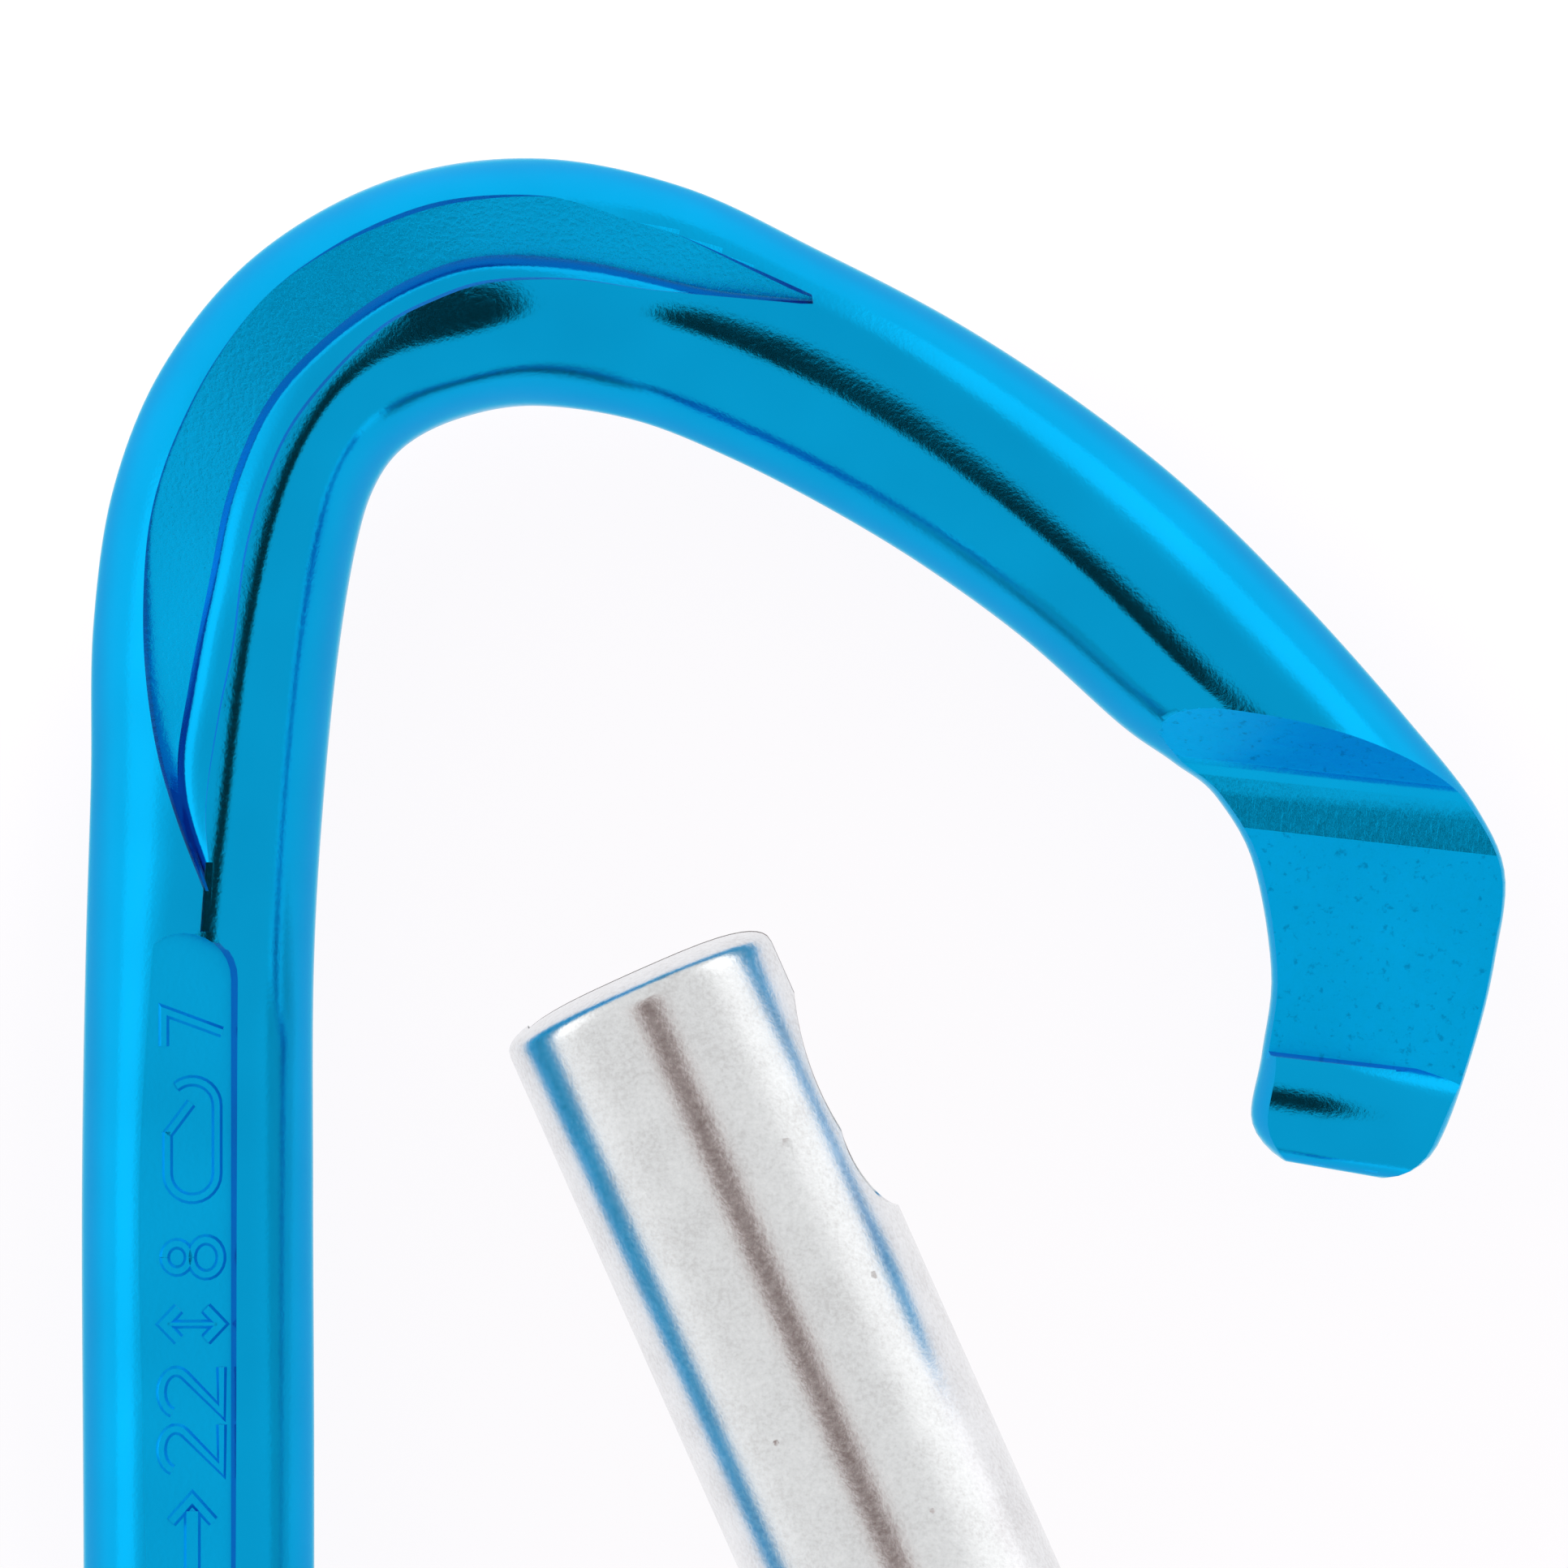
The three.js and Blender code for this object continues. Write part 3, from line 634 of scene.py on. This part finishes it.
def nose_waste():
    """What is cut away round the cross bar so that its end is round."""
    region = prism([(24.0, 56.2), (24.0, 46.0), (40.0, 46.0), (40.0, 54.3)], -9, 9)
    waste = new_object("nose_waste", *region, smooth=False)
    shut = in_gate_frame(CLOSED_LEAN)
    carve(waste, moved(nose_bar(), shut))
    slab = block(-15, 15, NOSE_ROUND - 0.6, NOSE_ROUND + 9, -WEB_HALF, WEB_HALF)
    carve(waste, moved(slab, shut))
    verts = [tuple(v.co) for v in waste.data.vertices]
    faces = [tuple(p.vertices) for p in waste.data.polygons]
    mesh = waste.data
    bpy.data.objects.remove(waste)
    bpy.data.meshes.remove(mesh)
    return verts, faces


# Degrees round the pivot, and distance from it.
EAR = [
    (165, 6.9), (186, 8.1), (200, 9.2), (218, 9.5), (238, 9.2), (260, 8.9), (282, 8.4),
    (302, 7.3), (320, 5.6), (340, 4.4), (360, 4.4), (380, 4.4), (400, 4.4), (420, 4.4), (432, 4.4),
]


def tang_outline():
    """Flat ear that the gate's fork straddles; its upper edge is the cam for the plunger."""
    turn = Matrix.Rotation(-CLOSED_LEAN, 2)
    points = []
    for degrees in range(-6, 45, 2):
        swing = math.radians(degrees)
        here, ahead = (plunger_tip(s) for s in (swing, swing + 0.01))
        run = (ahead - here).normalized()
        edge = here - Vector((run.y, -run.x)) * (PLUNGER_RADIUS + CAM_GAP)
        points.append(Vector(PIVOT[:2]) + turn @ edge)
    ear = even_path([polar(degrees, radius) for degrees, radius in EAR], 70)
    return [tuple(p) for p in points] + [tuple(p) for p in ear]


def polar(degrees, radius):
    """Point round the gate's pivot."""
    angle = math.radians(degrees)
    return (PIVOT.x + radius * math.cos(angle), PIVOT.y + radius * math.sin(angle))


def plunger_tip(swing):
    y = PLUNGER_REST + PLUNGER_RATIO * swing
    return Vector((
        -GATE_OFFSET * math.cos(swing) - y * math.sin(swing),
        -GATE_OFFSET * math.sin(swing) + y * math.cos(swing),
    ))


def carabiner_body():
    obj = new_object("body_master", *tube(body_rings()), smooth=False)
    carve_both(obj, recess_shape())
    carve_both(obj, panel_shape())
    carve_both(obj, groove_shape())
    carve_both(obj, web_shape())
    carve(obj, nose_waste())
    centre = Vector(PIVOT)
    reach = Vector((0, 0, 9))
    carve(obj, cylinder(6.1, centre - reach, centre + reach, 96))
    carve(obj, prism(tang_outline(), -TANG_HALF, TANG_HALF), "UNION")
    carve(obj, cylinder(1.72, centre - reach, centre + reach, 48))
    shade(obj)
    return obj


BODY_MATERIALS = (
    "anodised_gloss", "anodised_recess", "anodised_web", "anodised_panel", "anodised_cut",
)
GLOSS, RECESS, WEB, PANEL, CUT = range(5)
RECESS_FROM = 62.7
NOSE_LEFT = 22
NOSE_FROM = 50
WEB_EDGE = 0.6
PANEL_RIGHT = -10.5


def inside(polygon, x, y):
    """True where the point lies inside the closed outline."""
    odd = False
    for (x0, y0), (x1, y1) in zip(polygon, polygon[1:] + polygon[:1]):
        if (y0 > y) != (y1 > y) and x < x0 + (x1 - x0) * (y - y0) / (y1 - y0):
            odd = not odd
    return odd


def finish_of(face, recess):
    """Index of one face's finish, from where it lies on the body."""
    x, y, z = face.center
    level, facing = abs(z), abs(face.normal.z)
    past_web = y - web_start(x)
    reach, rise = zip(*WEB_CLIMB)
    if y > RECESS_FROM and level < 4.75 and facing > 0.8 and inside(recess, x, y):
        return RECESS
    on_nose = x > NOSE_LEFT
    if on_nose and y > NOSE_FROM and past_web < WEB_EDGE and abs(level - WEB_HALF) < 0.02:
        return WEB
    if on_nose and WEB_EDGE < past_web < reach[-1]:
        if abs(level - WEB_HALF - np.interp(past_web, reach, rise)) >= 0.04:
            return GLOSS
        return CUT if past_web < CUT_BAND else WEB
    if x < PANEL_RIGHT and facing > 0.98 and abs(level - panel_level(x)) < 0.02:
        return PANEL
    return GLOSS


def finish_body(obj, materials):
    """Gives the recess floor, the web, the cut band and the panel their own finish: rougher grain, and
    a base colour lifted as painted light.
    """
    mesh = obj.data
    for name in BODY_MATERIALS:
        mesh.materials.append(materials[name])
    recess = [tuple(p) for p in even_path(RECESS_WALL, 60)]
    recess += [tuple(p) for p in even_path(RECESS_FLOOR_EDGE, 60)[::-1]]
    for face in mesh.polygons:
        face.material_index = finish_of(face, recess)


# ---- load marks ----
def stroke(points, half):
    """Outline of a flat line along the points, with mitred corners."""
    p = [Vector(q) for q in points]
    left, right = [], []
    for i, here in enumerate(p):
        before = (here - p[i - 1]).normalized() if i else None
        after = (p[i + 1] - here).normalized() if i + 1 < len(p) else None
        run = ((before or after) + (after or before)).normalized()
        side = Vector((-run.y, run.x))
        across = Vector((-(before or after).y, (before or after).x))
        width = half / max(abs(side.dot(across)), 0.5)
        left.append(here + side * width)
        right.append(here - side * width)
    return left + right[::-1]


def arc(cx, cy, rx, ry, start, end, count=14):
    return [
        (cx + rx * math.cos(math.radians(a)), cy + ry * math.sin(math.radians(a)))
        for a in np.linspace(start, end, count)
    ]


def figure(kind, x, width):
    """Strokes of one numeral, 2.6 mm tall across the panel, from x along the spine."""
    if kind == "2":
        shape = [arc(0.5, 1.95, 0.42, 0.6, 165, -35) + [(0.1, 0.12), (1.0, 0.12)]]
    elif kind == "8":
        shape = [arc(0.5, 1.92, 0.33, 0.5, 90, 450, 22), arc(0.5, 0.74, 0.42, 0.6, 90, 450, 22)]
    else:
        shape = [[(0.05, 2.45), (0.95, 2.45), (0.4, 0.1)]]
    return [[(x + px * width, py) for px, py in s] for s in shape]


def mark_strokes():
    """All marks as (half width, points): x runs up the spine, y across the panel."""
    thin, mid = 0.18, 1.3
    marks = [(thin, s) for s in figure("2", 39.2, 1.9) + figure("2", 41.4, 1.9)]
    marks += [(thin, s) for s in figure("8", 46.7, 1.6) + figure("7", 55.5, 1.5)]
    marks.append((0.3, [(24.0, mid), (37.8, mid)]))
    marks.append((0.2, [(37.4, mid + 0.85), (38.3, mid), (37.4, mid - 0.85)]))
    marks.append((0.13, [(44.95, 0.3), (44.95, 2.3)]))
    marks.append((0.22, [(44.35, 0.75), (44.95, 0.15), (45.55, 0.75)]))
    marks.append((0.22, [(44.35, 1.85), (44.95, 2.45), (45.55, 1.85)]))
    loop = [(52.3, 2.3)] + arc(50.7, mid, 0.95, 1.0, 90, 270, 14)
    loop += arc(53.3, mid, 0.95, 1.0, 270, 400, 12)
    marks.append((thin, loop))
    marks.append((thin, [(52.2, 2.3), (53.4, 1.35)]))
    return marks


def load_marks():
    """Raised marks with sloping sides, on both faces."""
    verts, faces = [], []
    for side in (1, -1):
        for half, points in mark_strokes():
            start = len(verts)
            for spread, above in ((half + 0.09, -0.05), (half + 0.04, 0.0), (half - 0.07, 0.12)):
                outline = [(-11.2 - 0.94 * y, x) for x, y in stroke(points, spread)]
                verts += [(x, y, side * (panel_level(x) + above)) for x, y in outline]
            size = len(outline)
            for layer in (0, size):
                for i in range(size):
                    j = (i + 1) % size
                    low = start + layer
                    faces.append((low + i, low + j, low + size + j, low + size + i))
            for i in range(size // 2 - 1):
                quad = (i, i + 1, size - 2 - i, size - 1 - i)
                faces.append(tuple(start + q for q in quad)[::-1])
                faces.append(tuple(start + 2 * size + q for q in quad))
    return new_object("marks", verts, faces)


# ---- gate ----
DOME_SHARES = (1.0, 0.99, 0.97, 0.94, 0.9, 0.85, 0.78, 0.7, 0.6, 0.48, 0.34, 0.18, 0)


def gate_blank():
    """Round bar with a softly domed tip."""
    dome = 1.1
    tip = GATE_LENGTH + 0.4
    profile = [(0, -6.4), (GATE_RADIUS, -6.4)]
    profile += [(GATE_RADIUS, y) for y in np.linspace(-4, tip - dome - 0.3, 60)]
    for share in DOME_SHARES:
        drop = dome * (1 - (1 - share ** 4) ** (1 / 2.4))
        profile.append((GATE_RADIUS * share, tip - drop))
    return moved(turned(profile, 112), Matrix.Translation((-GATE_OFFSET, 0, 0)))


def heel_shape():
    outline = [(9, -3.9)]
    for degrees in range(-44, -181, -4):
        a = math.radians(degrees)
        outline.append((5.6 * math.cos(a), 5.6 * math.sin(a)))
    outline += [(-5.6, 0.1), (-7.7, 2.6), (-9, 2.6), (-9, 60), (9, 60)]
    return prism(outline, -9, 9)


def nose_pocket(sides=72):
    """Pocket that takes the nose's cross bar, a little larger all round."""
    ring = []
    for a in circle_angles(sides):
        rise = rounded(math.sin(a), 0.6)
        ring.append((NOSE_ROUND - 0.62 + 2.62 * math.cos(a), (NOSE_HALF + 0.2) * rise))
    return tube([[(x, y, z) for y, z in ring] for x in (-5.2, 9)])


# Small pits in the gate's upper and lower sides, as (x, y, radius).
GATE_PITS = [(0.95, 39.9, 0.2), (1.95, 33.9, 0.17), (-4.1, 29.6, 0.13), (0.3, 24.8, 0.12)]


def gate_master(bent):
    obj = new_object("gate_master", *gate_blank(), smooth=False)
    carve(obj, heel_shape(), "INTERSECT")
    scallop = (GATE_RADIUS - GATE_OFFSET + 11.02, 41.1)
    carve(obj, cylinder(12, (*scallop, -9), (*scallop, 9), 256))
    carve(obj, nose_pocket())
    carve(obj, block(-6.35, 9, NOSE_ROUND, GATE_LENGTH + 2, -1.95, 1.95))
    for x, y, size in GATE_PITS:
        surface = math.sqrt(GATE_RADIUS ** 2 - (x + GATE_OFFSET) ** 2)
        carve_both(obj, cylinder(size, (x, y, surface - 0.06), (x + 0.1, y + 0.1, surface + 1), 5))
    carve(obj, block(-12, 12, -9, 7.2, -2.55, 2.55))
    carve(obj, cylinder(2.2, (-GATE_OFFSET, 6.7, 0), (-GATE_OFFSET, 17.2, 0), 48))
    carve(obj, cylinder(1.66, (0, 0, -9), (0, 0, 9), 48))
    carve_both(obj, cylinder(2.7, (0, 0, 4.6), (0, 0, 9), 64))
    if bent:
        for v in obj.data.vertices:
            t = clamp((v.co.y - BEND_FROM) / (BEND_TO - BEND_FROM))
            v.co.x -= BEND_DEPTH * math.sin(math.pi * t) ** 2
    shade(obj)
    return obj


def rivet_shape():
    profile = [(0, -5.35), (1.2, -5.33), (1.9, -5.24), (2.3, -5.08), (2.45, -4.9), (2.45, -4.64)]
    profile += [(1.6, -4.64), (1.6, 4.64)]
    profile += [(r, -y) for r, y in profile[5::-1]]
    return moved(turned(profile, 64), Matrix.Rotation(math.pi / 2, 4, "X"))


# ---- sling ----
def tape_centreline():
    """Middle of the tape's thickness round the whole loop, as (y, z), starting at mid-sling."""
    rod = ROD_SPAN / 2
    neck = rod - LOOP_NECK
    half = TAPE_THICK / 2
    quarter = [(y, half) for y in np.linspace(0, neck - NECK_LEAD, 120)[:-1]]
    for t in np.linspace(0, 1, 70):
        y = neck - NECK_LEAD * (1 - t) + (rod - neck) * t
        quarter.append((y, half + LOOP_INNER * smooth_step(t)))
    reach = LOOP_INNER + half
    for a in np.radians(np.linspace(86, 0, 34)):
        quarter.append((rod + reach * math.cos(a), reach * math.sin(a)))
    bottom = [(y, -z) for y, z in quarter[::-1][1:]]
    right = quarter + bottom
    left = [(-y, -z) for y, z in right[1:-1]]
    return np.array(right + left)


def tape_section(count=44):
    """Rounded flat section as (x, out) pairs."""
    w, t = TAPE_WIDTH / 2, TAPE_THICK / 2 - 0.02
    side_power, face_power = 0.28, 0.55
    points = []
    for a in circle_angles(count):
        c, s = math.cos(a), math.sin(a)
        points.append((rounded(c, side_power) * w, rounded(s, face_power) * t))
    return points


RIB_SPACING = 1.1
RIB_DEPTH = 0.035


def sling():
    """The whole loop of tape, with its woven ribs pressed into both faces."""
    path = tape_centreline()
    ahead = np.roll(path, -1, axis=0) - np.roll(path, 1, axis=0)
    ahead /= np.linalg.norm(ahead, axis=1)[:, None]
    outward = np.column_stack([-ahead[:, 1], ahead[:, 0]])
    along = np.concatenate([[0], np.cumsum(np.linalg.norm(np.diff(path, axis=0), axis=1))])
    section = tape_section()
    rings, values = [], []
    for (y, z), (ny, nz), s in zip(path, outward, along):
        ring = []
        for x, out in section:
            flatness = 1 - (abs(x) / (TAPE_WIDTH / 2)) ** 6
            wave = math.sin(2 * math.pi * (s + (x % RIB_SPACING) / (2 * RIB_SPACING)))
            reach = out + RIB_DEPTH * (wave * flatness - 1) * math.copysign(1, out)
            ring.append((SLING_CENTRE + x, y + ny * reach, z + nz * reach))
            values.append((x, s))
        rings.append(ring)
    obj = new_object("sling_tape", *tube(rings, closed_loop=True))
    for k, name in enumerate(("across", "along")):
        layer = obj.data.attributes.new(name, "FLOAT", "POINT")
        layer.data.foreach_set("value", [v[k] for v in values])
    return obj


def thread_path(points, radius, sides=8):
    """Round thread along a list of points."""
    p = [Vector(q) for q in points]
    rings = []
    for i, here in enumerate(p):
        run = (p[min(i + 1, len(p) - 1)] - p[max(i - 1, 0)]).normalized()
        side = run.cross(Vector((0, 0, 1))).normalized()
        up = side.cross(run).normalized()
        rings.append([
            here + side * (radius * math.cos(a)) + up * (radius * math.sin(a))
            for a in circle_angles(sides)
        ])
    return tube(rings)


def bartack(box, above):
    """Close zigzag of thread across the tape, dipping into it at both edges."""
    low, high = (Vector(c) / MM for c in box)
    surface = low.z if above else high.z
    sign = 1 if above else -1
    passes = 17
    margin = 0.25
    length = high.y - low.y - 2 * margin
    points = []
    for i in range(passes):
        y0 = low.y + margin + length * i / passes
        y1 = low.y + margin + length * (i + 1) / passes
        ends = (low.x + margin, high.x - margin)
        if i % 2:
            ends = ends[::-1]
        for t in np.linspace(0, 1, 24):
            dip = math.sin(math.pi * t) ** 0.35 if 0 < t < 1 else 0.0
            x = ends[0] + (ends[1] - ends[0]) * t
            ripple = 0.05 * math.sin(t * 38 + i)
            height = -0.12 + 0.27 * dip + ripple * dip
            points.append((x, y0 + (y1 - y0) * t, surface + sign * height))
    return thread_path(points, 0.15)


def label_shape(box):
    """Ribbon label as one thin slab with rounded edges and three slight waves along it."""
    low, high = (Vector(c) / MM for c in box)
    rings = []
    width = (high.x - low.x) / 2 - 0.05
    middle = (low.x + high.x) / 2
    for y in np.linspace(low.y + 0.05, high.y - 0.05, 60):
        t = (y - low.y) / (high.y - low.y)
        lift = 0.05 * math.sin(math.pi * t * 3) ** 2
        ring = []
        for a in circle_angles(28):
            c, s = math.cos(a), math.sin(a)
            x = middle + rounded(c, 0.2) * width
            ring.append((x, y, low.z + 0.19 + lift + rounded(s, 0.5) * 0.17))
        rings.append(ring)
    return tube(rings)


def keeper_shape(box):
    """Moulded rubber band with soft edges and three shallow grooves round it."""
    low, high = (Vector(c) / MM for c in box)
    centre = (low + high) / 2
    half = (high - low) / 2
    corner = 2.6
    ring_path = []
    for qx, qz, start in ((1, 1, 0), (-1, 1, 90), (-1, -1, 180), (1, -1, 270)):
        for a in np.radians(np.linspace(start, start + 90, 14)):
            x = qx * (half.x - corner) + corner * math.cos(a)
            z = qz * (half.z - corner) + corner * math.sin(a)
            ring_path.append((x, z, math.cos(a), math.sin(a)))
    section = []
    for a in circle_angles(40):
        c, s = math.cos(a), math.sin(a)
        y = rounded(c, 0.45) * (half.y - 0.02)
        depth = -0.65 + rounded(s, 0.6) * 0.6
        if s > 0.2:
            depth -= 0.16 * (math.cos(y / half.y * math.pi * 3) + 1) / 2
        section.append((y, depth))
    rings = []
    for x, z, nx, nz in ring_path:
        rings.append([(centre.x + x + nx * d, centre.y + y, centre.z + z + nz * d) for y, d in section])
    return tube(rings, closed_loop=True)


# ---- scene ----
def add_camera():
    """Straight down between the bow and the nose of the bolt-end carabiner, 60.4 mm across."""
    frame_width, distance = 60.375, 600.0
    middle = TO_BOLT @ Vector((10.1875, 65.5875, 0))
    data = bpy.data.cameras.new("camera")
    data.sensor_width = 36.0
    data.lens = data.sensor_width * distance / frame_width
    data.clip_start, data.clip_end = 0.01, 20.0
    camera = bpy.data.objects.new("camera", data)
    camera.location = middle + Vector((0, 0, distance * MM))
    bpy.context.scene.collection.objects.link(camera)
    bpy.context.scene.camera = camera


def add_floor():
    """White floor just under the part; it glows a little less under the bolt carabiner."""
    reach = 6.0
    floor = new_object(
        "floor",
        [(-reach, -reach, 0), (reach, -reach, 0), (reach, reach, 0), (-reach, reach, 0)],
        [(0, 1, 2, 3)],
    )
    gap = 0.0002
    floor.data.transform(Matrix.Translation((0, 0, -gap)))
    n = Nodes("floor_white")
    away = n.add("ShaderNodeVectorMath", {0: n.place(), 1: (0.0, 0.1, 0.0)}, operation="DISTANCE")
    glow = {"Value": away.outputs["Value"], "From Min": 0.03, "From Max": 0.06}
    glow.update({"To Min": 0.93, "To Max": 1.15})
    strength = n.add("ShaderNodeMapRange", glow, interpolation_type="SMOOTHSTEP").outputs["Result"]
    n.set(Base_Color=(0.08, 0.08, 0.08, 1), Roughness=0.9, Specular_IOR_Level=0.0)
    n.set(Emission_Color=(1.0, 0.982, 1.0, 1))
    n.link(strength, "Emission Strength")
    floor.data.materials.append(n.material)


def soft_patch(tree, direction, towards, inner, outer):
    """One inside a cone round the direction, fading to zero between two angles in degrees."""
    dot = tree.nodes.new("ShaderNodeVectorMath")
    dot.operation = "DOT_PRODUCT"
    tree.links.new(direction, dot.inputs[0])
    dot.inputs[1].default_value = Vector(towards).normalized()
    spread = tree.nodes.new("ShaderNodeMapRange")
    spread.interpolation_type = "SMOOTHSTEP"
    spread.inputs["From Min"].default_value = math.cos(math.radians(outer))
    spread.inputs["From Max"].default_value = math.cos(math.radians(inner))
    tree.links.new(dot.outputs["Value"], spread.inputs["Value"])
    return spread.outputs["Result"]


def add_patch(tree, level, patch, weight):
    """The level, a number or a socket, plus the weighted patch."""
    node = tree.nodes.new("ShaderNodeMath")
    node.operation = "MULTIPLY_ADD"
    tree.links.new(patch, node.inputs[0])
    node.inputs[1].default_value = weight
    if isinstance(level, float):
        node.inputs[2].default_value = level
    else:
        tree.links.new(level, node.inputs[2])
    return node.outputs[0]


def add_world():
    """Pale surroundings with a soft dark patch overhead and brighter patches to the sides."""
    world = bpy.data.worlds.new("studio")
    world.use_nodes = True
    bpy.context.scene.world = world
    tree = world.node_tree
    background = tree.nodes["Background"]
    direction = tree.nodes.new("ShaderNodeTexCoord").outputs["Generated"]
    level = 0.84
    for towards, inner, outer, weight in (
        ((-1, 0.1, 0.05), 8, 44, 0.36),
        ((0.78, 0.6, 0.0), 10, 46, 0.34),
        ((0, 0, 1), 8, 12, -0.8),
    ):
        patch = soft_patch(tree, direction, towards, inner, outer)
        level = add_patch(tree, level, patch, weight)
    tree.links.new(level, background.inputs["Strength"])
    tint = tree.nodes.new("ShaderNodeMix")
    tint.data_type = "RGBA"
    tree.links.new(patch, tint.inputs[0])
    tint.inputs[6].default_value = (1.0, 1.0, 1.0, 1)
    tint.inputs[7].default_value = (2.0, 0.86, 0.66, 1)
    tree.links.new(tint.outputs[2], background.inputs["Color"])


def add_lights():
    for name, place_at, size, power in (
        ("key", (0.55, 0.7, 0.19), 0.5, 0.25),
        ("fill", (-0.85, 0.15, 0.16), 0.5, 0.2),
    ):
        data = bpy.data.lights.new(name, "AREA")
        data.size = size
        data.energy = power
        light = bpy.data.objects.new(name, data)
        light.location = place_at
        light.visible_camera = False
        light.rotation_euler = (-Vector(place_at)).to_track_quat("-Z", "Y").to_euler()
        bpy.context.scene.collection.objects.link(light)


def copy_of(obj, name):
    twin = obj.copy()
    twin.data = obj.data.copy()
    twin.name = name
    bpy.context.scene.collection.objects.link(twin)
    return twin


def drop(obj):
    mesh = obj.data
    bpy.data.objects.remove(obj)
    bpy.data.meshes.remove(mesh)


def dress_node(name, material):
    obj = bpy.data.objects[name]
    obj.data.materials.clear()
    obj.data.materials.append(material)


def build_carabiners(materials):
    body = carabiner_body()
    finish_body(body, materials)
    marks = load_marks()
    marks.data.materials.append(materials["anodised_panel"])
    for end, matrix in PLACES.items():
        name = f"{end}_body"
        node = f"{end}_carabiner_body"
        place(copy_of(body, name), matrix, f"{end}_frame", name, [node])
        place(copy_of(marks, name), matrix, f"{end}_load_marks", name)
        lean = OPEN_LEAN if end == "bolt" else CLOSED_LEAN
        at_gate = matrix @ in_gate_frame(lean)
        gate = gate_master(end == "rope")
        gate.data.materials.append(materials["satin"])
        place(gate, at_gate, f"{end}_gate_bar", f"{end}_gate", [f"{end}_gate"])
        rivet = new_object("rivet", *rivet_shape())
        rivet.data.materials.append(materials["steel"])
        place(rivet, at_gate, f"{end}_rivet", f"{end}_gate", [f"{end}_gate_rivet"])
        for hidden in (f"{end}_plunger", f"{end}_gate_spring"):
            dress_node(hidden, materials["steel"])
    drop(body)
    drop(marks)


def build_sling(materials):
    to_row = Matrix.Translation(SLING_MIDDLE - SLING_OFFSET) @ Matrix.Scale(MM, 4)
    tape = sling()
    tape.data.materials.append(materials["tape"])
    place(tape, to_row, "sling_tape", "dogbone", ["sling_webbing"])
    scale = Matrix.Scale(MM, 4)
    for node in sorted(frame["nodes"]):
        if node.startswith("bartack"):
            tack = new_object("tack", *bartack(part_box(node), node.endswith("top")))
            tack.data.materials.append(materials["thread"])
            place(tack, scale, f"stitch_{node}", "dogbone", [node])
    label = new_object("label", *label_shape(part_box("sewn_label")))
    label.data.materials.append(materials["label"])
    place(label, scale, "blank_label", "dogbone", ["sewn_label"])
    keeper = new_object("keeper", *keeper_shape(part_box("rubber_keeper")))
    keeper.data.materials.append(materials["rubber"])
    place(keeper, scale, "keeper_band", "dogbone", ["rubber_keeper"])


def all_materials():
    return {
        "anodised_gloss": anodised("anodised_gloss", 0.125, 0.12, 5600.0),
        # The factor after the grain scale (1.15 to 1.25) lifts the base colour of the recess, web, cut
        # band and panel as painted light against the dark patch overhead that they reflect.
        "anodised_recess": anodised("anodised_recess", 0.27, 0.5, 5200.0, 1.15),
        "anodised_web": anodised("anodised_web", 0.5, 0.3, 3000.0, 1.25, scratched=True),
        "anodised_cut": anodised("anodised_cut", 0.25, 0.32, 3200.0, 1.15, (2.0, 0.6, 1.0)),
        "anodised_panel": anodised("anodised_panel", 0.33, 0.1, 5000.0, 1.22),
        "satin": satin_aluminium(),
        "steel": steel(),
        "tape": woven("sling_weave", (0.008, 0.009, 0.011), (0.05, 0.053, 0.06), (0.05, 0.42, 0.78)),
        "thread": thread_material(),
        "rubber": rubber_material(),
        "label": label_material(),
    }


bpy.context.scene.view_settings.view_transform = "Standard"
add_camera()
add_floor()
add_world()
add_lights()
MATERIALS = all_materials()
build_carabiners(MATERIALS)
build_sling(MATERIALS)
bpy.context.view_layer.update()
